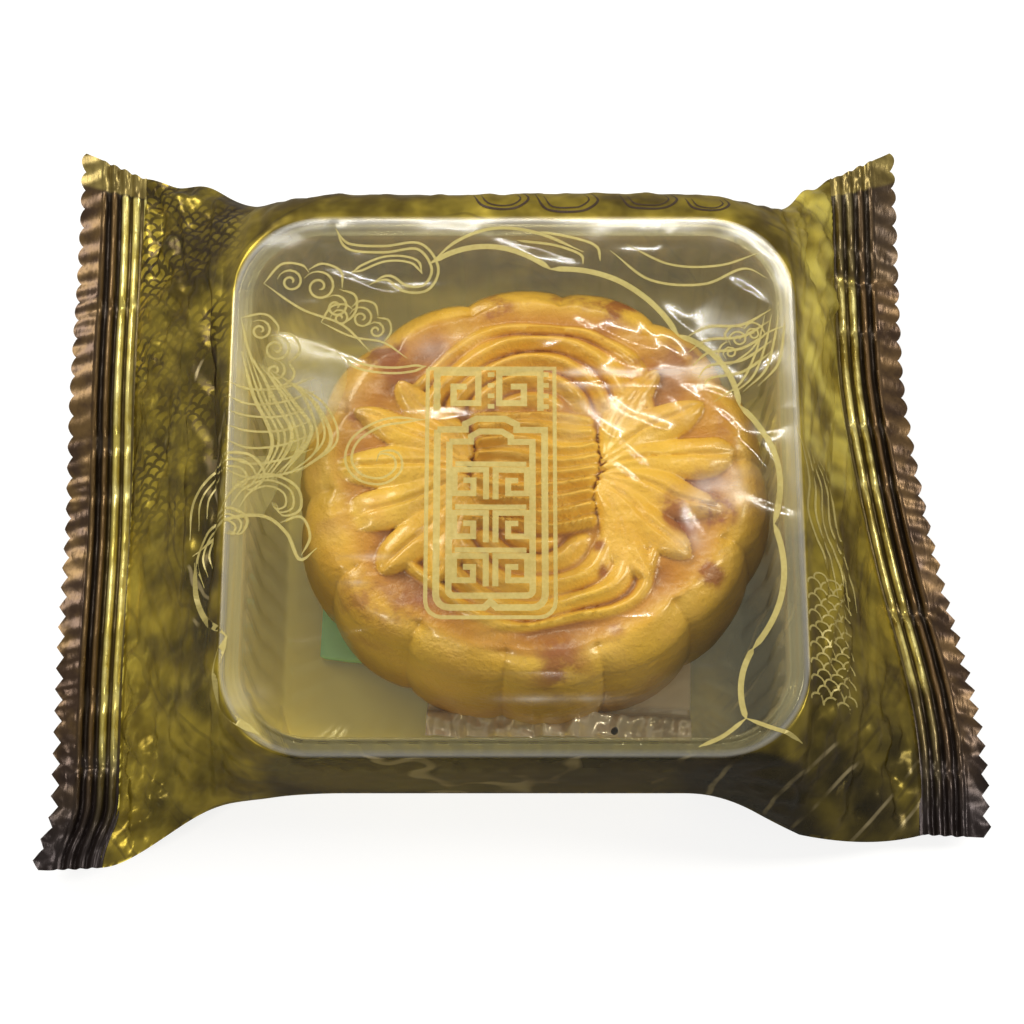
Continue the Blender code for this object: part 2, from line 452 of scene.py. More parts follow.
def haze_and_painted_glare(place):
    """How white the window is made, from 0 to about 1: haze, painted reflections and glare streaks, and a
    painted reflection along the far rim.
    """
    x, y = place[:, 0] - TRAY_X, place[:, 1] - TRAY_Y
    streaky = 0.75 + 0.5 * noise_wave(x, y, 87, 7.0, 3)
    total = np.zeros(len(place))
    for spot_x, spot_y, reach, strength, stretch in HAZE_AND_GLARE_SPOTS:
        away = np.hypot((x - spot_x) / stretch, (y - spot_y) * 1.25) / reach
        total += strength * np.exp(-(away**2))
    rim = np.abs(outside_square(place[:, 0], place[:, 1], RIM_HALF, RIM_CORNER) + 1.4)
    return np.clip(total * streaky, 0, 1) + 0.26 * ease((1.6 - rim) / 1.2) * ease((y + 34) / 40)


def window_share(place):
    """1 where the film is clear, 0 where it is tinted."""
    x, y, _ = place.T
    edge = outside_square(x, y, RIM_HALF - 0.6, RIM_CORNER)
    return ease(0.5 - edge / 1.2)


# %% Make the film between the seals
FILM_CELLS_X, FILM_CELLS_Y = 218, 206


def make_film_sheet(name, upper):
    """One side of the tube, from seal to seal and from seam to seam."""

    def smooth_film(u, v):
        x = mix(-SEAL_INNER, SEAL_INNER, u)
        column = mix(-HALF_COLUMNS, HALF_COLUMNS, v)
        return film_point(x, column, upper)

    piece, u, v = add_grid(name, FILM_CELLS_X, FILM_CELLS_Y)
    place = smooth_film(u, v)
    at_seam = ease((HALF_COLUMNS - HALF_COLUMNS * np.abs(2 * v - 1)) / 1.5)
    at_seal = ease((SEAL_INNER - np.abs(mix(-SEAL_INNER, SEAL_INNER, u))) / 2.0)
    normal = normals_of(smooth_film, np.clip(u, 0.002, 0.998), np.clip(v, 0.002, 0.998))
    if upper:
        height = film_wrinkles(place)
        clear = window_share(place)
    else:
        height = -0.6 * np.abs(film_wrinkles(place + (0, 0, 4))) * ease(place[:, 2] / 6)
        clear = np.zeros(len(place))
    height = height * at_seam * at_seal
    fill_points(piece, place + normal * height[:, None])
    store(piece, "clear", clear)
    # The stored shade holds painted shade and light, and the next share haze and painted glare.
    store(piece, "shade", film_tint_with_painted_shade(place) if upper else lower_tint_painted_light_and_shade(place))
    store(piece, "haze_and_glare", haze_and_painted_glare(place) if upper else np.zeros(len(place)))
    return piece


upper_film = make_film_sheet("upper_film", True)
lower_film = make_film_sheet("lower_film", False)
film = join([upper_film, lower_film], "film")
weld(film)
smooth(film, 75)
print("film:", triangles(film), "triangles")

# %% [markdown]
# ## The crimped ends
#
# A heated jaw presses ribs into both layers at once and a saw-toothed knife
# cuts them. The ribs run along the seal. Between them the metal-like film is
# puckered by fine cross wrinkles, and here and there it is pinched. The teeth
# are cut only into the last fifth, so that the ribs stay straight. One thin
# sheet is formed and then given its thickness, so that its edge shows.

# %% Make the crimped ends
SEAL_CELLS_ACROSS, CELLS_PER_TOOTH = 54, 12
SMOOTH_BAND = 3.8
RIB_PITCH = 1.75
RIB_HEIGHT = 0.42
SEAL_OVERLAP = 0.5
SEAL_THICKNESS = 0.16
CUT_ZONE = 0.2


def tooth(v):
    """Share of a tooth's depth along the cut: round far away, sharp near by."""
    turn = (v * TEETH) % 1.0
    sharp = 1 - np.abs(2 * turn - 1)
    round_tip = 0.35 + 0.65 * np.sin(math.pi * turn) ** 0.8
    return mix(sharp, round_tip, ease(v * 2 - 0.4))


def make_seal(name, side):
    """A crimped end of the film, on the left (-1) or on the right (1)."""
    chance = np.random.default_rng(40 + side)
    pinches = [(chance.uniform(-1, 1) * SEAL_HALF, chance.uniform(0.4, 0.9)) for _ in range(9)]
    pinches.append((35.7, 1.7) if side > 0 else (-43.0, 1.3))

    def flat_seal(u, v):
        cut = TOOTH_DEPTH * (1 - tooth(v)) * ease((u - 1 + CUT_ZONE) / CUT_ZONE)
        x = side * (mix(SEAL_INNER - SEAL_OVERLAP, TIP_X, u) - cut)
        y = mix(-SEAL_HALF, SEAL_HALF, v)
        return settled(x, y, seal_level(x, y))

    piece, u, v = add_grid(name, SEAL_CELLS_ACROSS, TEETH * CELLS_PER_TOOTH)
    place = flat_seal(u, v)
    y = place[:, 1]
    inward = (1 - u) * SEAL_WIDTH
    wander = 0.22 * np.sin(y / 21.0 + side) + 0.05 * np.sin(y / 7.3)
    ribbed = ease((inward - SMOOTH_BAND + 0.6) / 0.8)
    rib = RIB_HEIGHT * np.sin(2 * math.pi * (inward + wander) / RIB_PITCH)
    pucker = 0.09 * np.sin(y * 1.9 + 2 * np.sin(y / 5.0) + 4 * u) * (1 - ribbed)
    crushed = 0.10 + 0.34 * (1 - ease(v / 0.45)) * (1 - 0.6 * ribbed)
    pucker += crushed * facets(place[:, 0] * 1.4, y, 61 + side, 6, 0.5, 5.2)
    buckle = 0.4 * noise_wave(y, inward * 0.4, 71 + side, 30.0, 2)
    pinched = sum(depth * np.exp(-(((y - at) / 1.1) ** 2)) for at, depth in pinches)
    grip = ease(u * SEAL_WIDTH / 1.5)
    height = grip * (rib * ribbed * (1 - 0.6 * np.clip(pinched, 0, 1)) + pucker + buckle * u)
    place[:, 2] += height - grip * 0.5 * pinched * ease(1 - abs(u - 0.4) * 2)
    fill_points(piece, place)
    store(piece, "across", u)
    store(piece, "rib", 0.5 + 0.5 * np.sin(2 * math.pi * (inward + wander) / RIB_PITCH) * ribbed)
    store(piece, "far", v)
    thick = piece.modifiers.new("film_layers", "SOLIDIFY")
    thick.thickness = SEAL_THICKNESS * MM
    thick.offset = 0
    apply_modifiers(piece)
    smooth(piece, 50)
    return piece


left_seal = make_seal("seal_left", -1)
right_seal = make_seal("seal_right", 1)
print("seals:", triangles(left_seal), "triangles each")

# %% [markdown]
# ## The tray
#
# The tray is drawn from clear sheet over a mould. It has a flat rim with a
# bead round it, walls that lean in and are fluted for stiffness, and a flat
# base. A section is taken round the rounded square, so that u runs round the
# tray and v runs from the rim down the wall to the middle of the base.

# %% Make the tray
TRAY_TOP = PACK_TOP - 0.5
TRAY_RIM = RIM_HALF - 0.7
TRAY_FLOOR = 1.0
TRAY_FLOOR_HALF = BASE_HALF - 0.2
FLANGE = 2.2
FLUTES = 72
CELLS_PER_FLUTE = 7
FLUTE_DEPTH = 0.35
TRAY_SHEET = 0.3

tray_section = [
    # distance in from the rim's edge, height, flute strength
    (0.0, TRAY_TOP - 1.2, 0.0),
    (0.0, TRAY_TOP - 0.3, 0.0),
    (0.3, TRAY_TOP, 0.0),
    (0.9, TRAY_TOP, 0.0),
    (1.2, TRAY_TOP - 0.45, 0.0),
    (1.7, TRAY_TOP - 0.45, 0.0),
    (2.0, TRAY_TOP, 0.0),
    (FLANGE, TRAY_TOP, 0.0),
    (FLANGE + 0.3, TRAY_TOP - 0.6, 0.0),
    (FLANGE + 0.4, TRAY_TOP - 3.5, 0.0),
    (FLANGE + 0.6, TRAY_TOP - 5.0, 1.0),
    (mix(FLANGE, TRAY_RIM - TRAY_FLOOR_HALF, 0.25), mix(TRAY_TOP, TRAY_FLOOR, 0.6), 1.0),
    (TRAY_RIM - TRAY_FLOOR_HALF - 0.9, TRAY_FLOOR + 4.0, 1.0),
    (TRAY_RIM - TRAY_FLOOR_HALF, TRAY_FLOOR + 1.0, 0.4),
    (TRAY_RIM - TRAY_FLOOR_HALF + 1.2, TRAY_FLOOR, 0.0),
    (TRAY_RIM, TRAY_FLOOR, 0.0),
]
TRAY_STEPS = 4


def square_outline(u, half, corner):
    """Point and outward direction at a share u of the way round a rounded square."""
    straight = 2 * (half - corner)
    bend = math.pi / 2 * corner
    length = 4 * (straight + bend)
    travel = (u % 1.0) * length
    quarter = np.floor(travel / (straight + bend)).astype(int)
    rest = travel - quarter * (straight + bend)
    on_bend = rest > straight
    turn = np.where(on_bend, (rest - straight) / corner, 0.0)
    x = np.where(on_bend, half - corner + corner * np.cos(turn), half)
    y = np.where(on_bend, half - corner + corner * np.sin(turn), rest - (half - corner))
    spin = quarter * math.pi / 2
    out = np.stack((np.cos(turn + spin), np.sin(turn + spin)), axis=1)
    point = np.stack((x * np.cos(spin) - y * np.sin(spin), x * np.sin(spin) + y * np.cos(spin)), axis=1)
    return point, out


def make_tray():
    """The tray's skin, rim to middle of the base, with its thickness."""
    rows = (len(tray_section) - 1) * TRAY_STEPS
    piece, u, v = add_grid("tray", FLUTES * CELLS_PER_FLUTE, rows)
    stops = np.linspace(0, 1, len(tray_section))
    inward = np.interp(v, stops, [row[0] for row in tray_section])
    height = np.interp(v, stops, [row[1] for row in tray_section])
    fluted = np.interp(v, stops, [row[2] for row in tray_section])
    edge, out = square_outline(u, TRAY_RIM, RIM_CORNER)
    flute = FLUTE_DEPTH * fluted * np.clip(np.sin(u * 2 * math.pi * FLUTES) * 2, -1, 1)
    offset = inward + flute
    # Past the corner's own radius the outline shrinks about the middle instead.
    most = RIM_CORNER - 2.0
    x_y = edge - out * np.minimum(offset, most)[:, None]
    shrink = 1 - np.maximum(offset - most, 0) / (TRAY_RIM - most)
    x_y = x_y * shrink[:, None] + (TRAY_X, TRAY_Y)
    fill_points(piece, np.column_stack((x_y, height)))
    store(piece, "rim", ease(FLANGE + 1.2 - inward))
    weld(piece)
    thick = piece.modifiers.new("sheet", "SOLIDIFY")
    thick.thickness = TRAY_SHEET * MM
    thick.offset = 0
    apply_modifiers(piece)
    smooth(piece, 40)
    return piece


tray = make_tray()
print("tray:", triangles(tray), "triangles")

# %% [markdown]
# ## The cake
#
# Dough is pressed into a carved mould, turned out and baked twice with an egg
# glaze. The mould leaves fourteen lobes round the side, a smooth shoulder,
# and a pressed picture on top: a ribbed panel in the middle, a fan of leaves
# to each side, and nested arcs before and behind it. Baking softens all of
# it. The skin is one grid wrapped over the cake, so that it has no pole.

# %% Sizes of the cake
CAKE_X, CAKE_Y = TRAY_X + 2.9, TRAY_Y + 2.9
CAKE_RADIUS = 35.7
CAKE_SQUASH = 0.925
CAKE_BOTTOM, CAKE_TOP = TRAY_FLOOR + 0.3, 28.4
SHOULDER = 6.0
FOOT = 3.0
UNDER_LENGTH = 4.0
LOBES = 14
LOBE_DEPTH = 1.3
FIRST_NOTCH = math.radians(5)
PICTURE_RADIUS = CAKE_RADIUS - SHOULDER - 0.6
PICTURE_RELIEF = 2.2
PANEL_HALF_X, PANEL_HALF_Y, PANEL_RIB = 9.0, 10.2, 2.3
ARC_START, ARC_PITCH, ARC_REACH = 9.5, 3.7, 17.5


def dome(distance, reach):
    """1 in the middle, falling round to 0 at the reach."""
    return np.sqrt(np.clip(1 - (distance / reach) ** 2, 0, 1))


def leaf(x, y, root, angle, length, width):
    """A raised leaf with a vein, from its root outwards."""
    dx, dy = x - root[0], y - root[1]
    along = (dx * math.cos(angle) + dy * math.sin(angle)) / length
    across = -dx * math.sin(angle) + dy * math.cos(angle)
    half = width * np.sin(math.pi * np.clip(along, 0, 1) ** 1.15) ** 0.55 + 1e-6
    inside = (along > 0) & (along < 1)
    body = np.where(inside, dome(across, half), 0.0)
    vein = np.exp(-((across / 0.35) ** 2)) * ease(np.clip(along, 0, 1) * 4) * inside
    return body * (0.6 + 0.4 * ease(along * 3)) - 0.3 * vein


def pressed_picture(x, y):
    """Relief of the cake's top, from 0 for its ground to about 1."""
    bend = 1.3 * noise_wave(x, y, 85, 23.0, 2)
    sway = 1.3 * noise_wave(x, y, 86, 21.0, 2)
    x, y = x + bend, y + sway
    height = np.zeros_like(x)
    for side in (-1, 1):
        for degrees, length, width in (
            (-66, 17.0, 3.1), (-42, 19.0, 3.5), (-18, 20.5, 3.7),
            (6, 20.5, 3.7), (30, 20.0, 3.6), (54, 18.0, 3.3),
        ):
            turn = math.radians(degrees + 3 * side)
            angle = turn if side > 0 else math.pi - turn
            root = (side * PANEL_HALF_X, 3.2 * math.sin(turn))
            height = np.maximum(height, leaf(x, y, root, angle, length, width))
        ahead = y * side
        from_middle = np.hypot(x * 0.86, ahead - ARC_START)
        in_front = ease((ahead - ARC_START) / 3.0)
        ridge = (0.5 + 0.5 * np.cos(2 * math.pi * (from_middle - 2.2) / ARC_PITCH)) ** 0.8
        arcs = ridge * in_front * ease((ARC_REACH - from_middle) / 1.5)
        height = np.maximum(height, 0.95 * arcs)
    panel = ease((PANEL_HALF_X - np.abs(x)) / 1.2) * ease((PANEL_HALF_Y - np.abs(y)) / 1.2)
    panel_ribs = 0.62 + 0.38 * np.sin(2 * math.pi * y / PANEL_RIB + 0.25 * np.sin(x / 3))
    return np.maximum(height, panel * panel_ribs)


def cake_relief(x, y):
    """Height in millimetres added to the cake's flat top."""
    radius = np.hypot(x, y)
    wobble = 0.8 * np.sin(3 * np.arctan2(y, x) + 0.6) + 0.5 * np.sin(7 * np.arctan2(y, x))
    picture = ease((PICTURE_RADIUS + 1.0 + wobble - radius) / 5.0)
    groove = np.exp(-(((radius - PICTURE_RADIUS - wobble) / 2.0) ** 2))
    pressed = 1 - 0.45 * ease(noise_wave(x, y, 83, 19.0, 2) + 0.3)
    return PICTURE_RELIEF * picture * pressed * (pressed_picture(x, y) - 0.35) - 0.35 * groove


def lobe_share(angle):
    """1 on the crown of a lobe, 0 in the notch between two."""
    place = ((angle - FIRST_NOTCH) / (2 * math.pi) * LOBES) % 1.0 * 2 - 1
    return (np.sqrt(1.12 - place**2) - math.sqrt(0.12)) / (math.sqrt(1.12) - math.sqrt(0.12))


# %% Make the cake
CAKE_CELLS = 284
TOP_SHARE = 0.6

# Where the oven caught the top: place from the cake's middle, reach, strength.
SCORCHED_SPOTS = [
    (27.4, -6.1, 2.4, 1.0), (25.9, -15.5, 2.2, 0.9), (21.5, -6.9, 2.6, 0.7), (-5.9, 26.5, 3.2, 0.8),
    (11.9, 27.5, 4.2, 0.8), (4.5, 29.5, 3.0, 0.5), (16.2, 16.2, 2.8, 0.7), (22.9, 19.8, 3.6, 0.6),
    (-22.1, 18.5, 4.4, 0.7), (-27.5, 8.0, 3.0, 0.5), (3.7, -29.0, 5.0, 0.55), (12.0, -24.0, 2.4, 0.4),
    (9.5, -11.5, 1.2, 0.6), (10.0, -15.5, 1.2, 0.6), (-17.0, -21.0, 3.0, 0.35), (29.0, 8.0, 3.0, 0.45),
    (-24.0, -19.0, 8.0, 0.40), (23.0, -2.0, 8.0, 0.32), (-30.0, -6.0, 5.0, 0.30),
]


def scorching(x, y):
    """How far the oven has browned a place on top, from 0 to 1."""
    total = np.zeros_like(x)
    for spot_x, spot_y, reach, strength in SCORCHED_SPOTS:
        total += strength * np.exp(-((np.hypot(x - spot_x, y - spot_y) / reach) ** 2))
    return np.clip(total, 0, 1)


def cake_skin(u, v):
    """Points of the skin, with their relief, their share of the top and of a lobe."""
    a, b = 2 * u - 1, 2 * v - 1
    wide = np.abs(a) > np.abs(b)
    longer = np.where(wide, a, b)
    ratio = np.where(wide, b, a) / np.where(longer == 0, 1.0, longer)
    angle = np.where(wide, math.pi / 4 * ratio, math.pi / 2 - math.pi / 4 * ratio)
    angle = angle + np.where(longer < 0, math.pi, 0.0)
    travel = np.abs(longer)
    lobes = lobe_share(angle)
    uneven = 0.35 * np.sin(2 * angle + 1.0) + 0.25 * np.sin(5 * angle + 2.0)

    shoulder_length = math.pi / 2 * SHOULDER
    foot_length = math.pi / 2 * FOOT
    side_length = CAKE_TOP - CAKE_BOTTOM - SHOULDER - FOOT
    path = shoulder_length + side_length + foot_length + UNDER_LENGTH
    beyond = np.clip((travel - TOP_SHARE) / (1 - TOP_SHARE), 0, 1) * path
    flat = np.clip(travel / TOP_SHARE, 0, 1) * (CAKE_RADIUS - SHOULDER)

    turn = np.clip(beyond / SHOULDER, 0, math.pi / 2)
    down = np.clip(beyond - shoulder_length, 0, side_length)
    tuck = np.clip((beyond - shoulder_length - side_length) / FOOT, 0, math.pi / 2)
    under = np.clip(beyond - shoulder_length - side_length - foot_length, 0, UNDER_LENGTH)
    radius = flat + SHOULDER * np.sin(turn) - FOOT * (1 - np.cos(tuck)) - under
    height = CAKE_TOP - SHOULDER * (1 - np.cos(turn)) - down - FOOT * np.sin(tuck)

    belly = 0.9 * np.sin(math.pi * np.clip(down / side_length, 0, 1)) - 0.5 * (1 - down / side_length)
    on_side = ease((radius - PICTURE_RADIUS + 0.5) / 4.5)
    radius = radius - on_side * LOBE_DEPTH * (1 - lobes) + on_side * (uneven + belly - 0.4)
    x, y = radius * np.cos(angle), radius * np.sin(angle)
    on_top = 1 - ease((turn - 0.25) / 0.6)
    relief = cake_relief(x, y) * on_top
    shoulder_notch = on_side * on_top * 0.8 * (1 - lobes) ** 2
    swell = 0.75 * noise_wave(x, y, 81, 24.0, 3) * on_top
    point = np.stack((x, y * CAKE_SQUASH, height + relief - shoulder_notch + swell), axis=1)
    return point + (CAKE_X, CAKE_Y, 0), relief, on_top, lobes


def make_cake():
    piece, u, v = add_grid("cake", CAKE_CELLS, CAKE_CELLS)
    point, relief, on_top, lobes = cake_skin(u, v)
    normal = normals_of(lambda s, t: cake_skin(s, t)[0], u, v)
    pores = 0.05 * noise_wave(point[:, 0], point[:, 1] + point[:, 2], 91, 2.2, 3)
    fill_points(piece, point + normal * pores[:, None])
    # How proud a place stands; the crust is coloured darker where it is low, partly as painted shade.
    raised = np.clip(on_top * (relief + 0.9) / 2.0 + (1 - on_top) * (0.35 + 0.5 * lobes), 0, 1)
    store(piece, "raised", raised)
    scorched = scorching(point[:, 0] - CAKE_X, point[:, 1] - CAKE_Y)
    store(piece, "scorched", scorched * ease((point[:, 2] - 12) / 8))
    bpy.ops.object.mode_set(mode="EDIT")
    bpy.ops.mesh.select_mode(type="EDGE")
    bpy.ops.mesh.select_all(action="DESELECT")
    bpy.ops.mesh.select_non_manifold()
    bpy.ops.mesh.edge_face_add()
    bpy.ops.mesh.select_all(action="SELECT")
    bpy.ops.mesh.normals_make_consistent(inside=False)
    bpy.ops.object.mode_set(mode="OBJECT")
    smooth(piece, 80)
    return piece


cake = make_cake()
print("cake:", triangles(cake), "triangles")

# %% [markdown]
# ## The sachet
#
# A small paper and film sachet keeps the cake fresh. Most of it is under the
# cake. One sees its ribbed, half-clear edge at the near side and a mint green
# field at the left. Its two sides are swollen a little and meet all round.

# %% Make the sachet
SACHET_X, SACHET_Y = TRAY_X, TRAY_Y - 16.5
SACHET_LEFT, SACHET_RIGHT, SACHET_HALF_Y = -13.0, 27.5, 15.0
SACHET_CORNER = 17.0
SACHET_LEVEL, SACHET_SWELL, SACHET_CURL, SACHET_RIB = 2.2, 1.3, 4.6, 0.22
SACHET_TURN = math.radians(-2)


def sachet_skin(u, v, upper):
    """Points of one side of the sachet, before it is turned and put in its place."""
    a, b = 2 * u - 1, 2 * v - 1
    left = SACHET_LEFT - SACHET_CORNER * ease((b + 0.28) / 0.12)
    x, y = mix(left, SACHET_RIGHT, u), b * SACHET_HALF_Y
    inside = dome(np.maximum(np.abs(a) - 0.1, 0), 0.9) * dome(np.maximum(np.abs(b) - 0.1, 0), 0.9)
    edge_zone = ease((-y - SACHET_HALF_Y + 5.0) / 1.5)
    ribs = SACHET_RIB * np.sin(x * 2 * math.pi / 2.3 + 1.5 * np.sin(y * 0.8)) * edge_zone
    curl = SACHET_CURL * edge_zone * (0.75 + 0.25 * np.sin(x / 7.0))
    wave = 0.3 * noise_wave(x, y, 95, 13.0, 3) + edge_zone * facets(x, y, 97, 6, 0.7, 4.2)
    lift = SACHET_SWELL * inside * (1 if upper else -0.2)
    return np.stack((x, y, SACHET_LEVEL + lift + ribs + curl + wave), axis=1)


def make_sachet():
    sides = []
    for upper in (True, False):
        piece, u, v = add_grid("sachet_side", 150, 80)
        point = sachet_skin(u, v, upper)
        x = point[:, 0] * math.cos(SACHET_TURN) - point[:, 1] * math.sin(SACHET_TURN)
        y = point[:, 0] * math.sin(SACHET_TURN) + point[:, 1] * math.cos(SACHET_TURN)
        fill_points(piece, np.column_stack((x + SACHET_X, y + SACHET_Y, point[:, 2])))
        store(piece, "edge_place", 2 * v - 1)
        store(piece, "end_place", 2 * u - 1)
        sides.append(piece)
    piece = join(sides, "sachet")
    weld(piece, 0.01)
    # The weld leaves this thin curled piece facing inwards, so it is turned round.
    piece.data.flip_normals()
    smooth(piece, 70)
    return piece


sachet = make_sachet()
print("sachet:", triangles(sachet), "triangles")

# %% [markdown]
# ## The print
#
# The window is printed in one pale gold ink: a lobed frame round the cake, an
# upright panel of nested frames and key fret, and scrolls, clouds and waves
# round the rim. Loops of brown ink lie on the far band. Each line is a flat
# ribbon with a width that swells and tapers as a brush line does. The ribbons
# are laid out in the plane of the rim, then dropped straight down on the film
# with a Shrinkwrap modifier, so that they bend with its wrinkles.

# %% Helpers for print
INK_LIFT = 0.07
DROP_FROM = 12.0
STEP = 0.55
KNOT_STEPS = 24
SCROLL_END = 0.12
ink_points, ink_faces = [], []


def curve_through(knots):
    """Evenly spaced points on a smooth curve through a few knots."""
    knots = np.asarray(knots, dtype=float)
    longer = np.vstack((2 * knots[0] - knots[1], knots, 2 * knots[-1] - knots[-2]))
    t = np.linspace(0, 1, KNOT_STEPS, endpoint=False)[:, None]
    parts = []
    for index in range(len(knots) - 1):
        p0, p1, p2, p3 = longer[index : index + 4]
        parts.append(
            0.5 * (2 * p1 + (p2 - p0) * t + (2 * p0 - 5 * p1 + 4 * p2 - p3) * t**2
                   + (3 * p1 - p0 - 3 * p2 + p3) * t**3)
        )
    parts.append(knots[-1:])
    line = np.vstack(parts)
    travel = np.concatenate(([0], np.cumsum(np.linalg.norm(np.diff(line, axis=0), axis=1))))
    even = np.linspace(0, travel[-1], max(int(travel[-1] / STEP), 2) + 1)
    return np.stack([np.interp(even, travel, line[:, axis]) for axis in (0, 1)], axis=1)


def straight_through(corners, closed=False):
    """Evenly spaced points along straight lines from corner to corner."""
    corners = list(corners) + ([corners[0]] if closed else [])
    parts = []
    for start, end in zip(corners, corners[1:]):
        start, end = np.asarray(start, float), np.asarray(end, float)
        pieces = max(int(np.linalg.norm(end - start) / STEP), 1)
        parts.append(mix(start, end, np.linspace(0, 1, pieces, endpoint=False)[:, None]))
    parts.append(np.asarray(corners[-1:], float))
    return np.vstack(parts)


def unit_ways(ways):
    """The same directions, each with a length of 1."""
    return ways / np.maximum(np.linalg.norm(ways, axis=1, keepdims=True), 1e-9)


def ink(line, width, taper=0.0):
    """Adds a ribbon along a line. Taper is the share of it that thins at each end."""
    following = np.vstack((line[1:], 2 * line[-1] - line[-2]))
    before = np.vstack((2 * line[0] - line[1], line[:-1]))
    ahead, after = unit_ways(line - before), unit_ways(following - line)
    way = unit_ways(ahead + after)
    miter = 1 / np.clip((way * ahead).sum(axis=1), 0.6, 1)
    across = np.stack((-way[:, 1], way[:, 0]), axis=1)
    share = np.linspace(0, 1, len(line))
    thin = np.ones(len(line))
    if taper:
        thin = 0.25 + 0.75 * ease(np.minimum(share, 1 - share) / taper)
    half = (width / 2 * miter * thin)[:, None]
    first = sum(len(part) for part in ink_points)
    ink_points.append(np.stack((line - across * half, line + across * half), axis=1).reshape(-1, 2))
    for index in range(len(line) - 1):
        low = first + 2 * index
        ink_faces.append((low, low + 2, low + 3, low + 1))


def brush(knots, width, taper):
    """A ribbon along a smooth curve through a few knots."""
    ink(curve_through(knots), width, taper)


def scroll(centre, radius, turns, start, width):
    """A spiral that winds in clockwise to its centre, as on a cloud."""
    count = max(int(turns * 2 * math.pi * radius / STEP / 1.5), 14)
    share = np.linspace(0, 1, count)
    angle = math.radians(start) - share * turns * 2 * math.pi
    reach = radius * mix(1.0, SCROLL_END, share)
    line = np.stack((centre[0] + reach * np.cos(angle), centre[1] + reach * np.sin(angle)), axis=1)
    ink(line, width, 0.15)


def field(left, right):
    """A flat filled shape, as a strip of quads that runs down between its long sides."""
    left, right = curve_through(left), curve_through(right)
    rows = min(len(left), len(right))
    left, right = (line[np.linspace(0, len(line) - 1, rows).astype(int)] for line in (left, right))
    columns = max(int(np.linalg.norm(left - right, axis=1).max() / STEP), 2)
    first = sum(len(part) for part in ink_points)
    share = np.linspace(0, 1, columns + 1)[None, :, None]
    ink_points.append(mix(left[:, None, :], right[:, None, :], share).reshape(-1, 2))
    for row in range(rows - 1):
        for column in range(columns):
            low = first + row * (columns + 1) + column
            ink_faces.append((low, low + columns + 1, low + columns + 2, low + 1))


def finish_print(name):
    """Makes one piece of all the ribbons so far and drops it on the film."""
    points = np.vstack(ink_points)
    mesh = bpy.data.meshes.new(name)
    flat = np.column_stack((points + (TRAY_X, TRAY_Y), np.full(len(points), PACK_TOP + DROP_FROM)))
    mesh.from_pydata((flat * MM).tolist(), [], ink_faces)
    piece = bpy.data.objects.new(name, mesh)
    bpy.context.scene.collection.objects.link(piece)
    drop = piece.modifiers.new("lay_on_film", "SHRINKWRAP")
    drop.wrap_method = "PROJECT"
    drop.use_project_z = True
    drop.use_positive_direction = False
    drop.use_negative_direction = True
    drop.target = film
    drop.offset = INK_LIFT * MM
    apply_modifiers(piece)
    ink_points.clear()
    ink_faces.clear()
    return piece


# %% [markdown]
# ## The lobed frame and the panel
#
# The frame round the cake is a row of arcs, each bulging outwards between two
# notches. The panel is plain geometry: nested frames with round lower
# corners, two of them stepped on top and one notched below, with square
# key-fret spirals and short ladders inside. It carries no writing.

# %% Draw the frame and the panel
def bulging_arc(start, end, bulge):
    """Points from start to end that bow to the left of the way by the bulge."""
    start, end = np.asarray(start, float), np.asarray(end, float)
    way = end - start
    side = np.array((-way[1], way[0])) / np.linalg.norm(way)
    share = np.linspace(0, 1, max(int(np.linalg.norm(way) / STEP), 4) + 1)[:, None]
    return start + way * share + side * bulge * (1 - (2 * share - 1) ** 2)


frame_notches = [
    (-12.5, 34.6, 3.2), (5.5, 33.6, 3.4), (24.5, 22.9, 2.2), (33.3, 11.4, 3.0),
    (37.7, -7.2, 2.8), (34.1, -26.1, -1.2), (32.8, -36.4, 0.0),
]
for (x, y, bulge), (next_x, next_y, _) in zip(frame_notches, frame_notches[1:]):
    ink(bulging_arc((x, y), (next_x, next_y), bulge), 0.85, 0.06)
brush([(-12.5, 34.6), (-8.5, 38.2), (-3.0, 40.3), (3.5, 39.6), (10.5, 36.4)], 0.5, 0.2)
brush([(0.5, 38.4), (6.0, 37.6), (10.0, 36.0), (10.4, 34.4)], 0.4, 0.1)
brush([(4.0, 39.8), (9.5, 38.6), (12.5, 37.2), (13.0, 34.9)], 0.4, 0.1)
brush([(-47.1, -10.6), (-46.6, -16.0), (-44.4, -21.0), (-41.1, -24.3)], 0.8, 0.15)
brush([(-41.1, -24.3), (-42.6, -30.0), (-40.6, -35.5), (-36.0, -38.8)], 1.1, 0.12)
brush([(32.8, -36.4), (37.0, -38.0), (41.0, -39.2)], 0.6, 0.2)
brush([(32.8, -36.4), (29.5, -39.0), (26.0, -40.6)], 0.6, 0.2)


def framed(left, right, bottom, top, width, corner, step=0.0, notch=0.0):
    """An upright frame with round lower corners, a step on top and a notch below."""
    middle = (left + right) / 2
    turns = [math.radians(a) for a in (180, 202, 225, 248, 270)]
    low_left = [(left + corner * (1 + math.cos(a)), bottom + corner * (1 + math.sin(a))) for a in turns]
    low_right = [(left + right - x, y) for x, y in reversed(low_left)]
    notched = [(middle - notch, bottom), (middle, bottom + notch), (middle + notch, bottom)]
    half = (right - left) * 0.24
    raised = [
        (right, top), (middle + half, top), (middle + half, top + step * 0.5),
        (middle + half * 0.55, top + step), (middle - half * 0.55, top + step),
        (middle - half, top + step * 0.5), (middle - half, top),
    ]
    corners = [(left, top)] + low_left + (notched if notch else []) + low_right
    ink(straight_through(corners + (raised if step else [(right, top)]), closed=True), width)


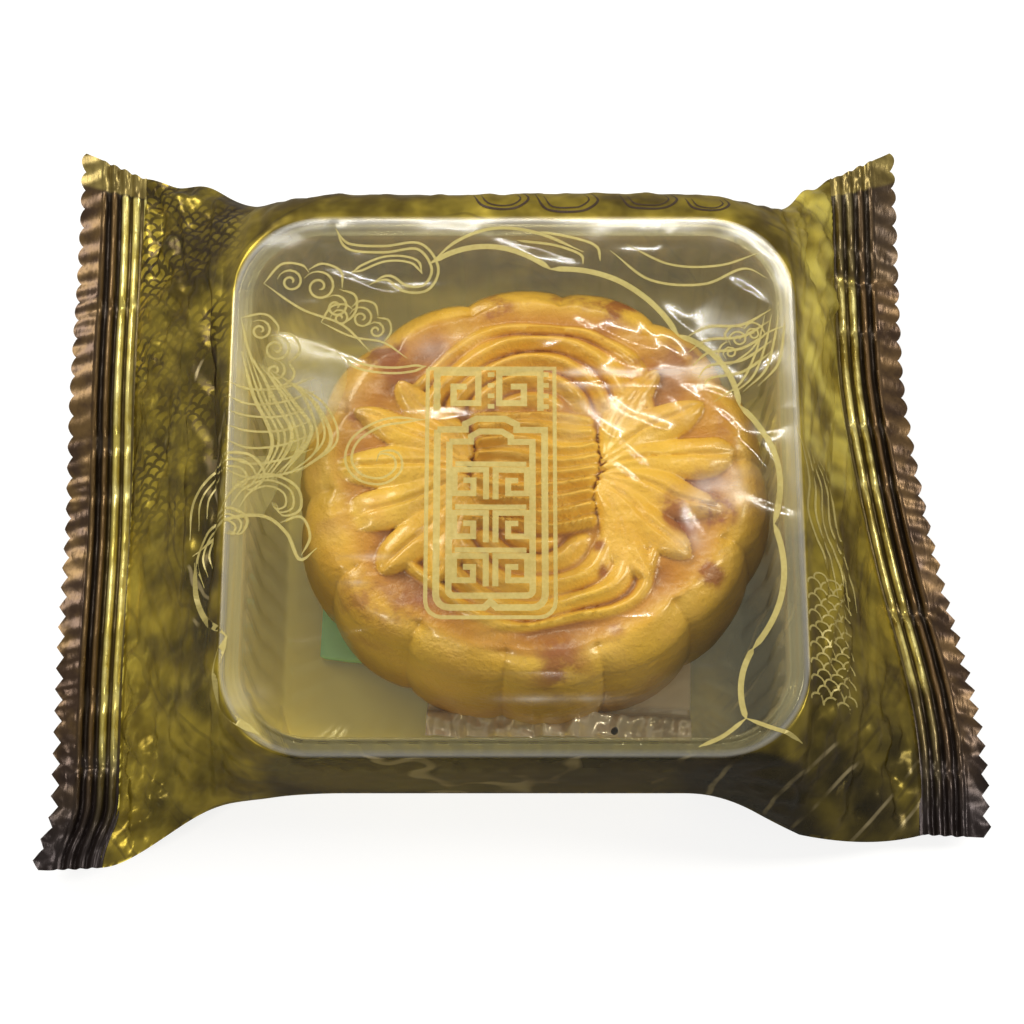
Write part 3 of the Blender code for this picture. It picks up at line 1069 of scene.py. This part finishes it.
def key_fret(left, bottom, size, width, mirrored=False):
    """A square spiral, the unit of a key fret."""
    unit = size / 5
    steps = [(0, 0), (0, 5), (5, 5), (5, 1), (2, 1), (2, 3.2), (3.6, 3.2)]
    place = [(left + (size - x * unit if mirrored else x * unit), bottom + y * unit) for x, y in steps]
    ink(straight_through(place), width)


def ladder(x, bottom, rungs, pitch, half_width, width):
    """Short level bars, one above another."""
    for rung in range(rungs):
        y = bottom + rung * pitch
        ink(straight_through([(x - half_width, y), (x + half_width, y)]), width)


PANEL_LEFT, PANEL_RIGHT = -12.8, 6.0
PANEL_BOTTOM, PANEL_TOP = -21.2, 17.6
HEADER_BOTTOM = PANEL_TOP - 7.4
panel_middle = (PANEL_LEFT + PANEL_RIGHT) / 2
framed(PANEL_LEFT, PANEL_RIGHT, PANEL_BOTTOM, PANEL_TOP, 0.6, 2.4)
framed(PANEL_LEFT + 1.5, PANEL_RIGHT - 1.5, PANEL_BOTTOM + 1.5, HEADER_BOTTOM - 2.4, 1.0, 1.9, 1.7, 0.9)
framed(PANEL_LEFT + 3.3, PANEL_RIGHT - 3.3, PANEL_BOTTOM + 3.3, HEADER_BOTTOM - 4.3, 0.95, 0.8, 1.6)
for mirrored in (False, True):
    side = 1 if mirrored else -1
    key_fret(panel_middle + side * 4.6 - 3.4, HEADER_BOTTOM + 0.6, 6.1, 0.95, mirrored)
    ladder(panel_middle + side * 8.0, HEADER_BOTTOM + 1.3, 4, 1.7, 0.55, 0.75)
ladder(panel_middle, HEADER_BOTTOM + 1.3, 4, 1.7, 0.5, 0.75)
for row in range(3):
    row_bottom = PANEL_BOTTOM + 4.7 + row * 6.7
    for mirrored in (False, True):
        key_fret(panel_middle - (5.3 if mirrored else -0.7), row_bottom, 4.6, 0.88, mirrored)
    ladder(panel_middle, row_bottom + 5.5, 1, 1.0, 5.2, 0.8)
panel_print = finish_print("panel_print")

# %% [markdown]
# ## Scrolls, clouds and waves
#
# Round the rim the film carries the usual ornament of such packs: double
# lined scrolls, cloud spirals with streaming tails, wave crests and a net of
# scales, and a row of loops in brown. They are drawn as general patterns, by
# rule. Two shapes at the left are filled with a thin veil of ink.

# %% Draw the ornament round the rim
def double_line(knots, width, gap):
    """Two lines side by side along a curve."""
    line = curve_through(knots)
    way = unit_ways(np.gradient(line, axis=0))
    side = np.stack((-way[:, 1], way[:, 0]), axis=1)
    share = np.linspace(0, 1, len(line))[:, None]
    part = gap * ease(np.minimum(share, 1 - share) / 0.15)
    ink(line + side * part / 2, width, 0.1)
    ink(line - side * part / 2, width, 0.1)


double_line([(-13.0, 9.4), (-19.0, 9.0), (-23.2, 6.4), (-24.3, 3.0), (-22.6, 0.4),
             (-19.3, -0.2), (-17.0, 1.6), (-17.4, 3.9), (-19.6, 4.2), (-20.2, 2.8)], 0.38, 0.95)
double_line([(-25.4, 19.6), (-22.7, 17.9), (-17.6, 17.3), (-13.0, 18.0)], 0.38, 0.9)
double_line([(-27.0, 40.2), (-25.0, 37.4), (-19.7, 36.9), (-14.4, 37.3), (-11.9, 33.8),
             (-13.2, 30.6), (-16.3, 30.4), (-19.0, 32.2), (-21.8, 31.0)], 0.4, 1.0)
double_line([(-24.5, 33.0), (-19.5, 35.3), (-15.2, 34.9), (-13.8, 32.8)], 0.35, 0.8)


def cloud(centre, size, tilt, width):
    """Three spirals under arched lines, with a tail."""
    turn = math.radians(tilt)

    def at(x, y):
        return (
            centre[0] + size * (x * math.cos(turn) - y * math.sin(turn)),
            centre[1] + size * (x * math.sin(turn) + y * math.cos(turn)),
        )

    scroll(at(-0.9, 0.0), 0.62 * size, 1.6, tilt + 200, width)
    scroll(at(0.35, 0.45), 0.8 * size, 1.7, tilt + 180, width)
    scroll(at(1.5, 0.0), 0.6 * size, 1.5, tilt + 160, width)
    brush([at(-1.9, -0.7), at(-1.7, 0.5), at(-0.9, 0.95), at(-0.4, 0.8)], width, 0.2)
    brush([at(-0.5, 0.9), at(-0.1, 1.5), at(0.8, 1.6), at(1.3, 0.9)], width, 0.2)
    brush([at(1.2, 0.8), at(2.0, 0.9), at(2.4, 0.2), at(2.2, -0.6)], width, 0.2)
    brush([at(-1.9, -0.7), at(0.2, -0.9), at(2.2, -0.6), at(4.0, -1.1)], width, 0.2)


cloud((-31.0, 30.0), 3.3, -30, 0.36)
cloud((-37.0, 21.0), 2.9, -70, 0.34)
cloud((-24.0, 25.0), 2.4, -20, 0.32)

chance = np.random.default_rng(17)
for index in range(11):
    shift = index * 1.05
    brush([
        (-40.5 + shift * 0.6, 20.0 - shift * 0.4), (-38.6 + shift, 12.5 + chance.uniform(-1, 1)),
        (-35.5 + shift * 0.9, 6.0 + chance.uniform(-1, 1)), (-38.5 + shift * 0.7, -1.5 + shift * 0.25),
    ], 0.34 + 0.2 * (index % 3 == 0), 0.3)
for index in range(7):
    top = 15.5 - index * 2.3
    brush([
        (-43.0, top), (-39.0, top - 1.6 + chance.uniform(-0.4, 0.4)), (-34.0, top - 1.2), (-29.5, top + 0.6),
    ], 0.32, 0.3)


def wave_crest(x, y, size, tilt):
    """A wave whose tip curls over, backed by two echo lines."""
    turn = math.radians(tilt)
    for echo in (1.0, 0.78, 0.56):
        knots = [(-1.6, -0.9), (-1.2, 0.3), (-0.2, 1.0), (0.9, 0.8), (1.25, 0.0), (0.7, -0.4), (0.35, 0.0)]
        brush([
            (x + size * echo * (a * math.cos(turn) - b * math.sin(turn)),
             y + size * echo * (a * math.sin(turn) + b * math.cos(turn))) for a, b in knots
        ], 0.42 if echo == 1.0 else 0.3, 0.2)


wave_crest(-42.0, -1.0, 4.6, 15)
wave_crest(-36.0, -3.6, 4.0, -15)
wave_crest(-42.5, -9.0, 3.6, 35)
brush([(-47.5, -9.5), (-42.0, -6.6), (-36.5, -6.0), (-33.0, -8.6), (-31.0, -12.6), (-28.6, -10.8)],
      0.5, 0.15)
brush([(-34.0, -7.0), (-31.0, -6.0), (-29.6, -9.0), (-30.8, -12.0)], 0.4, 0.2)

for index in range(5):
    drop_by = index * 2.1
    brush([
        (25.2 + index * 0.7, 22.2 - drop_by), (29.0, 24.2 - drop_by), (34.0, 24.4 - drop_by * 0.9),
        (38.4, 26.8 - drop_by * 0.8),
    ], 0.42, 0.25)
brush([(14.5, 36.6), (20.5, 31.9), (28.5, 31.2), (34.5, 33.6), (38.0, 32.0)], 0.4, 0.2)
brush([(17.0, 37.6), (23.5, 34.4), (31.0, 34.2), (37.0, 36.2)], 0.36, 0.2)
for index in range(4):
    brush([
        (29.5 + index * 2.2, 12.0 + index * 0.8), (33.5 + index * 1.9, 15.0 + index),
        (36.0 + index * 1.4, 20.0 + index), (37.5 + index, 26.0),
    ], 0.34, 0.3)
cloud((33.5, 21.0), 1.9, 40, 0.28)
for index in range(5):
    brush([
        (41.6 + index * 1.0, 8.0 - index * 0.6), (43.4 + index * 1.1, 1.0), (43.0 + index * 1.3, -5.0),
        (45.4 + index * 1.3, -11.0), (46.2 + index * 1.2, -16.5),
    ], 0.34, 0.25)


def scale_net(left, bottom, columns, rows, size, width):
    """Rows of small arcs, each row set half a scale aside."""
    for row in range(rows):
        for column in range(columns):
            x = left + size * (column + 0.5 * (row % 2))
            y = bottom + row * size * 0.55
            angles = np.radians(np.linspace(0, 180, 8))
            line = np.stack((x + size / 2 * np.cos(angles), y + size / 2 * np.sin(angles)), axis=1)
            ink(line, width)


scale_net(43.4, -33.0, 3, 16, 2.2, 0.26)
ornament_print = finish_print("ornament_print")

for centre, size in (((-2.0, 46.2), 4.2), ((8.0, 46.0), 4.8), ((20.5, 46.4), 4.4), ((29.5, 45.6), 3.4)):
    for share, width in ((1.0, 0.42), (0.72, 0.3)):
        reach = size * share
        brush([
            (centre[0] - reach, centre[1] + 0.2 * reach), (centre[0] - 0.6 * reach, centre[1] - 0.5 * reach),
            (centre[0] + 0.5 * reach, centre[1] - 0.55 * reach), (centre[0] + reach, centre[1] - 0.1 * reach),
            (centre[0] + 0.8 * reach, centre[1] + 0.35 * reach),
        ], width, 0.2)
loop_print = finish_print("loop_print")

field([(-36.0, 22.5), (-37.8, 16.0), (-36.8, 9.0), (-33.5, 4.0)],
      [(-28.0, 22.0), (-24.8, 17.5), (-26.5, 10.0), (-30.5, 4.5)])
field([(-40.5, 3.0), (-43.0, -1.0), (-42.0, -5.5)], [(-36.0, 3.4), (-34.5, -1.0), (-36.5, -6.0)])
field_print = finish_print("field_print")
print("print:", [triangles(piece) for piece in (panel_print, ornament_print, loop_print, field_print)])

# %% [markdown]
# ## Finishes
#
# A finish is a small graph of shader nodes. To keep the sums readable, a
# socket is wrapped in a class whose operators add Math nodes, so that
# `1 - mask * 0.5` in Python becomes that sum in the material.

# %% Helpers for finishes
class Value:
    """A number or colour in a material, on which Python sums can be done."""

    def __init__(self, finish, socket):
        self.finish = finish
        self.socket = socket

    def sum_with(self, operation, *values):
        inputs = dict(enumerate(values))
        return self.finish.node("ShaderNodeMath", {"operation": operation}, inputs)

    def __add__(self, other):
        return self.sum_with("ADD", self, other)

    def __radd__(self, other):
        return self.sum_with("ADD", other, self)

    def __sub__(self, other):
        return self.sum_with("SUBTRACT", self, other)

    def __rsub__(self, other):
        return self.sum_with("SUBTRACT", other, self)

    def __mul__(self, other):
        return self.sum_with("MULTIPLY", self, other)

    def __rmul__(self, other):
        return self.sum_with("MULTIPLY", other, self)

    def __truediv__(self, other):
        return self.sum_with("DIVIDE", self, other)

    def __pow__(self, other):
        return self.sum_with("POWER", self, other)

    def between(self, low, high):
        """0 below low, 1 above high, and smooth in between."""
        settings = {"interpolation_type": "SMOOTHSTEP"}
        return self.finish.node("ShaderNodeMapRange", settings, {0: self, 1: low, 2: high})


class Finish:
    """A material, with one way to add and join its nodes."""

    def __init__(self, name):
        self.material = bpy.data.materials.new(name)
        self.material.use_nodes = True
        self.tree = self.material.node_tree
        self.surface = self.tree.nodes["Principled BSDF"]
        self.out = self.tree.nodes["Material Output"]

    def join(self, socket, value):
        if isinstance(value, Value):
            self.tree.links.new(value.socket, socket)
        else:
            socket.default_value = value

    def node(self, kind, settings=None, inputs=None, output=0):
        made = self.tree.nodes.new(kind)
        for name, value in (settings or {}).items():
            setattr(made, name, value)
        for key, value in (inputs or {}).items():
            self.join(made.inputs[key], value)
        return Value(self, made.outputs[output])

    def stored(self, name):
        return self.node("ShaderNodeAttribute", {"attribute_name": name}, output=2)

    def place(self):
        """Object coordinates in millimetres."""
        point = self.node("ShaderNodeTexCoord", output=3)
        return self.node("ShaderNodeVectorMath", {"operation": "SCALE"}, {0: point, 3: 1000.0})

    def axis(self, point, index):
        return self.node("ShaderNodeSeparateXYZ", None, {0: point}, index)

    def noise(self, point, size, detail=3.0, roughness=0.55):
        inputs = {"Vector": point, "Scale": 1 / size, "Detail": detail, "Roughness": roughness}
        return self.node("ShaderNodeTexNoise", None, inputs)

    def blend(self, share, first, second):
        """A colour between two, by a share from 0 to 1."""
        inputs = {0: share, 6: first, 7: second}
        return self.node("ShaderNodeMix", {"data_type": "RGBA"}, inputs, 2)

    def bump(self, height, distance):
        return self.node("ShaderNodeBump", None, {"Height": height, "Distance": distance * MM})

    def set(self, **values):
        for name, value in values.items():
            self.join(self.surface.inputs[name.replace("_", " ")], value)

    def let_through(self, opacity, tint=(1, 1, 1, 1)):
        """Mixes the surface with clear film: 0 is all clear, 1 is solid."""
        clear = self.node("ShaderNodeBsdfTransparent", None, {0: tint})
        solid = Value(self, self.surface.outputs[0])
        mixed = self.node("ShaderNodeMixShader", None, {0: opacity, 1: clear, 2: solid})
        self.tree.links.new(mixed.socket, self.out.inputs["Surface"])


def colour(red, green, blue):
    """A colour given as 0 to 255 on a screen, as the linear numbers that a shader takes."""
    shares = [value / 255 for value in (red, green, blue)]
    linear = [s / 12.92 if s <= 0.04045 else ((s + 0.055) / 1.055) ** 2.4 for s in shares]
    return (*linear, 1.0)


# %% [markdown]
# ## Film
#
# Clear film is nearly all hole and a little mirror. So the window is a
# transparent shader mixed with a small share of a mirror-like one, and that
# share grows at glancing angles. Refracting glass would look much the same
# but would block the lamps from the cake. Outside the window an olive gold
# tint makes the film almost solid, with thin brown lines of scales and waves
# at the left. The stored shade paints shade into the tint, dark on the near
# side, and painted light where it is pale; pale streaks on the dark near side
# are painted glints. Where the film lies on the cake or the rim, a stored
# share makes it whiter and duller: partly haze, partly painted reflections and
# glare streaks.

# %% Film finish
def scale_lines(finish, point, size, width):
    """Thin arcs in staggered rows, like fish scales."""
    across = finish.axis(point, 0) / size
    along = finish.axis(point, 1) / (size * 0.5)
    row = finish.node("ShaderNodeMath", {"operation": "FLOOR"}, {0: along})
    aside = finish.node("ShaderNodeMath", {"operation": "MODULO"}, {0: row, 1: 2.0}) * 0.5
    in_scale = finish.node("ShaderNodeMath", {"operation": "FRACT"}, {0: across + aside + 20.0}) - 0.5
    up_scale = finish.node("ShaderNodeMath", {"operation": "FRACT"}, {0: along + 40.0}) * 0.5
    reach = (in_scale * in_scale + up_scale * up_scale) ** 0.5
    off_line = finish.node("ShaderNodeMath", {"operation": "ABSOLUTE"}, {0: reach - 0.44})
    return 1 - off_line.between(width * 0.5, width)


def film_finish():
    finish = Finish("clear_film_with_gold_tint")
    point = finish.place()
    clear = finish.stored("clear")
    shade = finish.stored("shade")
    haze_and_glare = finish.stored("haze_and_glare")
    bend = finish.noise(point, 16.0, 2.0)
    warped = finish.node("ShaderNodeVectorMath", {"operation": "MULTIPLY_ADD"},
                         {0: bend, 1: (7.0, 7.0, 0.0), 2: point})
    left_side = 1 - finish.axis(point, 0).between(-44.0, -40.0)
    far_part = finish.axis(point, 1).between(-20.0, 4.0)
    scales = scale_lines(finish, warped, 2.3, 0.15) * left_side * far_part
    waves = finish.node(
        "ShaderNodeTexWave", {"wave_type": "RINGS", "rings_direction": "Z"},
        {"Vector": warped, "Scale": 0.03, "Distortion": 6.0, "Detail": 1.0, "Detail Scale": 0.2},
        1,
    )
    wave_line = waves.between(0.86, 0.90) - waves.between(0.93, 0.975)
    patchy = finish.noise(point, 11.0, 2.0).between(0.42, 0.58)
    drawn = scales * 0.85 * (0.3 + 0.7 * patchy) + wave_line * 0.4 * patchy
    lines = drawn * shade.between(-0.3, 0.0)
    tone = finish.noise(point, 9.0, 3.0, 0.6).between(0.3, 0.7)
    gold = finish.blend(tone, colour(88, 72, 16), colour(170, 148, 50))
    # The dark tint is painted shade, used where the stored shade is high.
    dark = finish.blend(tone, colour(20, 16, 8), colour(50, 41, 20))
    olive = finish.blend(shade.between(0.2, 1.0), gold, dark)
    # Painted light: where the stored shade is below 0 the tint goes pale.
    bright = finish.blend((0 - shade).between(0.0, 0.4), olive, colour(250, 230, 106))
    lined = finish.blend(lines, bright, colour(48, 36, 20))
    # Painted glints: pale streaks on the dark near side.
    glint_band = waves.between(0.62, 0.68) * (1 - waves.between(0.74, 0.80))
    painted_glints = glint_band * shade.between(0.7, 0.85) * patchy
    tinted = finish.blend(painted_glints * 0.8, lined, colour(158, 142, 104))
    mirror = mix_values(clear, 0.15 + 0.4 * shade.between(-0.1, 0.1), 1.0)
    # The stored haze share makes the window whiter and duller: haze, painted reflections and glare.
    finish.set(
        Base_Color=finish.blend(clear, tinted, (1, 0.97, 0.88, 1)),
        Metallic=mirror * (1 - haze_and_glare * 0.8 * clear),
        Roughness=mix_values(clear, 0.28, 0.1) + 0.3 * haze_and_glare * clear,
    )
    finish.surface.inputs["Specular Tint"].default_value = (0.4, 0.34, 0.2, 1)
    edge_on = finish.node("ShaderNodeLayerWeight", None, {"Blend": 0.35}, 1)
    window = 0.04 + 0.4 * edge_on ** 3.0 + 0.3 * haze_and_glare
    finish.let_through(window * clear + 0.9 * (1 - clear), (1.0, 0.975, 0.84, 1))
    return finish.material


def mix_values(share, low, high):
    return share * (high - low) + low


def dress(piece, material):
    """Gives a piece its finish, and makes it ride with the pack that it replaces."""
    piece.data.materials.clear()
    piece.data.materials.append(material)
    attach(piece, "root")
    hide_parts("pack")


dress(film, film_finish())
print("film finish:", len(film.data.materials[0].node_tree.nodes), "nodes")

# %% [markdown]
# ## Crimped ends
#
# The ends are the same film with bronze brown ink behind it, so they shine
# like brown metal. The ridges are painted gold as a highlight and the valleys
# painted nearly black as shade, and the last few millimetres at the far corners
# show the olive gold back of the film, where the corner is turned over.

# %% Finish of the crimped ends
def seal_finish(name, outer, ridge, gold_from, gold_to):
    """Bronze film with a painted gold highlight on its inner ridges between two shares of its length, and
    painted shade in the rib valleys.
    """
    finish = Finish(name)
    point = finish.place()
    across = finish.stored("across")
    rib = finish.stored("rib")
    far = finish.stored("far")
    mottle = finish.noise(point, 5.0, 4.0, 0.6)
    patch = mottle.between(0.35, 0.68)
    brown = finish.blend(patch, colour(64, 46, 30), outer)
    # Painted shade: the rib valleys go nearly black.
    ribbed = finish.blend(rib.between(0.45, 0.95), colour(44, 33, 20), outer)
    gold = finish.blend(patch, ridge, colour(240, 224, 140))
    # Painted highlight: gold on the inner ridge crests.
    inner = finish.blend(rib.between(0.25, 0.7), colour(80, 66, 28), gold)
    lit = far.between(gold_from - 0.01, gold_from + 0.03) * (1 - far.between(gold_to, gold_to + 0.01))
    ridge_highlight_share = (1 - across.between(0.34, 0.40)) * (0.25 + 0.75 * lit)
    ribs = finish.blend(ridge_highlight_share, ribbed, inner)
    shade = finish.blend(1 - across.between(0.60, 0.68), brown, ribs)
    near_end = finish.blend(1 - far.between(0.02, 0.24), shade, colour(40, 31, 28))
    far_end = finish.blend(far.between(gold_to, gold_to + 0.01) * 0.5, near_end, colour(58, 48, 34))
    turned = finish.blend(patch, colour(96, 80, 38), colour(142, 124, 66))
    finish.set(
        Base_Color=finish.blend(far.between(0.948, 0.956), far_end, turned),
        Metallic=0.66,
        Roughness=mix_values(mottle, 0.22, 0.44),
    )
    stretched = {0: point, 1: (1.0, 0.22, 1.0)}
    streaks = finish.node("ShaderNodeVectorMath", {"operation": "MULTIPLY"}, stretched)
    finish.set(Normal=finish.bump(finish.noise(streaks, 0.8, 3.0), 0.1))
    return finish.material


left_bronze = seal_finish(
    "bronze_crimp_left", colour(100, 76, 40), colour(200, 180, 86), gold_from=0.13, gold_to=0.94
)
right_bronze = seal_finish(
    "bronze_crimp_right", colour(104, 79, 46), colour(156, 136, 62), gold_from=0.2, gold_to=0.805
)
dress(left_seal, left_bronze)
dress(right_seal, right_bronze)

# %% [markdown]
# ## Tray
#
# The tray is clear too, but thicker. It shows as pale edges where one looks
# along its walls, and as a faint bright rim.

# %% Tray finish
def tray_finish():
    finish = Finish("clear_tray")
    point = finish.place()
    rim = finish.stored("rim")
    far_share = 0.3 + 0.7 * finish.axis(point, 1).between(-48.0, -38.0)
    haze = finish.noise(point, 12.0, 1.0)
    edge_on = finish.node("ShaderNodeLayerWeight", None, {"Blend": 0.5}, 1)
    finish.set(
        Base_Color=(0.86, 0.80, 0.58, 1),
        Metallic=mix_values(rim, 0.8, 0.45),
        Roughness=mix_values(haze, 0.06, 0.22),
    )
    seen = 0.02 + (0.42 * edge_on ** 3.0 + 0.09 * rim) * far_share + 0.03 * haze
    finish.let_through(seen, (0.99, 0.975, 0.88, 1))
    return finish.material


dress(tray, tray_finish())

# %% [markdown]
# ## Crust
#
# Egg glaze bakes to a warm golden skin. What stands proud browns first, and
# here and there the heat leaves a reddish patch. The low ground, the grooves
# and the notches between the lobes are darker, partly from glaze that pools
# there and partly as painted shade. Slow noise moves the colour about so that
# no two lobes match, and a thin coat gives the satin shine.

# %% Crust finish
def crust_finish():
    finish = Finish("glazed_crust")
    point = finish.place()
    raised = finish.stored("raised")
    slow = finish.noise(point, 22.0, 2.0, 0.5)
    middle = finish.noise(point, 7.0, 4.0, 0.6)
    fine = finish.noise(point, 0.9, 2.0, 0.65)
    gold = finish.blend(slow.between(0.35, 0.65), colour(208, 158, 44), colour(220, 178, 62))
    pale = finish.blend(middle.between(0.4, 0.7), gold, colour(224, 182, 78))
    # Darker low ground and grooves: pooled glaze and painted shade.
    low = finish.blend(1 - raised.between(0.08, 0.46), pale, colour(172, 110, 20))
    groove = finish.blend((1 - raised.between(0.0, 0.2)) * 0.8, low, colour(112, 58, 12))
    far_side = finish.axis(point, 1).between(4.0, 30.0)
    browned = middle.between(0.50, 0.68) * raised.between(0.3, 0.9) * (0.3 + 0.7 * far_side)
    brown = finish.blend(browned * 0.65, groove, colour(192, 112, 38))
    caught = finish.stored("scorched") * (0.4 + 1.2 * middle.between(0.38, 0.62))
    dark = finish.blend(caught.between(0.15, 0.85) * 0.85, brown, colour(132, 60, 18))
    freckle = finish.blend(fine.between(0.62, 0.8) * 0.25, dark, colour(160, 92, 30))
    finish.set(
        Base_Color=freckle,
        Roughness=mix_values(middle, 0.34, 0.56),
        Coat_Weight=mix_values(slow, 0.4, 0.9),
    )
    finish.surface.inputs["Coat Roughness"].default_value = 0.22
    finish.set(Normal=finish.bump(fine, 0.22))
    return finish.material


dress(cake, crust_finish())

# %% Sachet finish
def sachet_finish():
    finish = Finish("paper_sachet")
    point = finish.place()
    end = finish.stored("end_place")
    edge = finish.stored("edge_place")
    soft = finish.noise(point, 3.0, 3.0)
    paper = finish.blend(soft, colour(232, 214, 196), colour(252, 240, 230))
    mint = (1 - end.between(-0.62, -0.60)) * edge.between(-0.42, -0.40)
    printed = finish.blend(mint, paper, colour(192, 252, 212))
    strip = 1 - edge.between(-0.62, -0.56)
    dot = 1 - ((end - 0.42) * (end - 0.42) * 2.2 + (edge + 0.93) * (edge + 0.93)).between(0.0012, 0.002)
    printed = finish.blend(dot, printed, colour(24, 22, 20))
    finish.set(Base_Color=printed, Roughness=mix_values(strip, 0.6, 0.14), Metallic=strip * 0.3)
    finish.set(Normal=finish.bump(soft, 0.2))
    finish.let_through(1 - strip * 0.4)
    return finish.material


dress(sachet, sachet_finish())

# %% [markdown]
# ## Ink
#
# The print is a pale gold ink with fine metal flakes. The lines are nearly
# solid, and the filled clouds are a thin veil of the same ink. The loops on
# the far band are the same kind of ink in brown.

# %% Ink finish
def ink_finish(name, solid, light=colour(200, 184, 112), dark=colour(168, 148, 74)):
    finish = Finish(name)
    point = finish.place()
    flake = finish.noise(point, 0.5, 2.0)
    worn = finish.noise(point, 6.0, 3.0)
    finish.set(
        Base_Color=finish.blend(flake, dark, light),
        Metallic=0.25,
        Roughness=mix_values(worn, 0.34, 0.5),
    )
    finish.let_through(solid * (0.85 + 0.15 * worn.between(0.3, 0.7)))
    return finish.material


dress(panel_print, ink_finish("gold_ink_panel", 0.84))
dress(ornament_print, ink_finish("gold_ink_lines", 0.8))
dress(loop_print, ink_finish("brown_ink_loops", 0.85, colour(72, 50, 34), colour(48, 34, 24)))
dress(field_print, ink_finish("gold_ink_veil", 0.26))

# %% [markdown]
# ## Stage, light and camera
#
# The pack lies on a plain sheet that looks white to the camera. By its own
# colour the sheet is grey, so that the film's near side does not mirror a
# bright floor. A wide lamp behind and to the left draws the soft shine on the
# window, a narrow one on the right picks out the crimps, a thin strip far off
# gives the fine glints, and a small low one lights the near left. The even
# world fills the shadows. The camera looks steeply down from the near side.

# %% Floor
SHEET_SIZE = 6.0
SHEET_GLOW = 0.80

bpy.ops.object.select_all(action="DESELECT")
bpy.ops.mesh.primitive_plane_add(size=SHEET_SIZE, location=(0, 0, -0.0001))
floor = bpy.context.object
floor.name = "floor"


def floor_finish():
    finish = Finish("white_sheet")
    finish.set(Base_Color=(0.28, 0.27, 0.25, 1), Roughness=0.9)
    seen = finish.node("ShaderNodeLightPath")
    finish.surface.inputs["Emission Color"].default_value = (1, 1, 1, 1)
    finish.set(Emission_Strength=seen * SHEET_GLOW)
    return finish.material


floor.data.materials.append(floor_finish())

# %% Lamps and world
TARGET = Vector((0, -0.005, 0.02))
WORLD_STRENGTH = 0.40


def add_softbox(name, place, width, depth, power):
    """A lamp with a lit face of this size, turned towards the pack."""
    bpy.ops.object.light_add(type="AREA", location=place)
    lamp = bpy.context.object
    lamp.name = name
    lamp.data.shape = "RECTANGLE"
    lamp.data.size = width
    lamp.data.size_y = depth
    lamp.data.energy = power
    lamp.rotation_euler = (TARGET - lamp.location).to_track_quat("-Z", "Y").to_euler()


add_softbox("wide_lamp_far_left", (-0.42, 0.46, 0.52), 0.40, 0.26, 4.6)
add_softbox("narrow_lamp_right", (0.50, 0.02, 0.44), 0.1, 0.3, 2.4)
add_softbox("strip_lamp_far", (0.06, 0.34, 0.62), 0.26, 0.012, 0.55)
add_softbox("low_lamp_near_left", (-0.36, -0.30, 0.4), 0.06, 0.06, 0.7)

world = bpy.data.worlds.new("even_light")
bpy.context.scene.world = world
world.use_nodes = True
sky = world.node_tree.nodes["Background"]
sky.inputs["Color"].default_value = (1, 1, 1, 1)
sky.inputs["Strength"].default_value = WORLD_STRENGTH

# %% Camera
VIEW_DISTANCE = 0.378
VIEW_ELEVATION = math.radians(70)
SENSOR = 36.0
LENS = 91.4
AIM_NEARER = 5.4

aim = Vector((0.0, TRAY_Y - AIM_NEARER, PACK_TOP)) * MM
back = Vector((0, -math.cos(VIEW_ELEVATION), math.sin(VIEW_ELEVATION)))
bpy.ops.object.camera_add(location=aim + back * VIEW_DISTANCE)
camera = bpy.context.object
camera.rotation_euler = (-back).to_track_quat("-Z", "Y").to_euler()
camera.data.sensor_width = SENSOR
camera.data.lens = LENS
camera.data.clip_start = 0.01
bpy.context.scene.camera = camera
bpy.context.scene.view_settings.view_transform = "Standard"
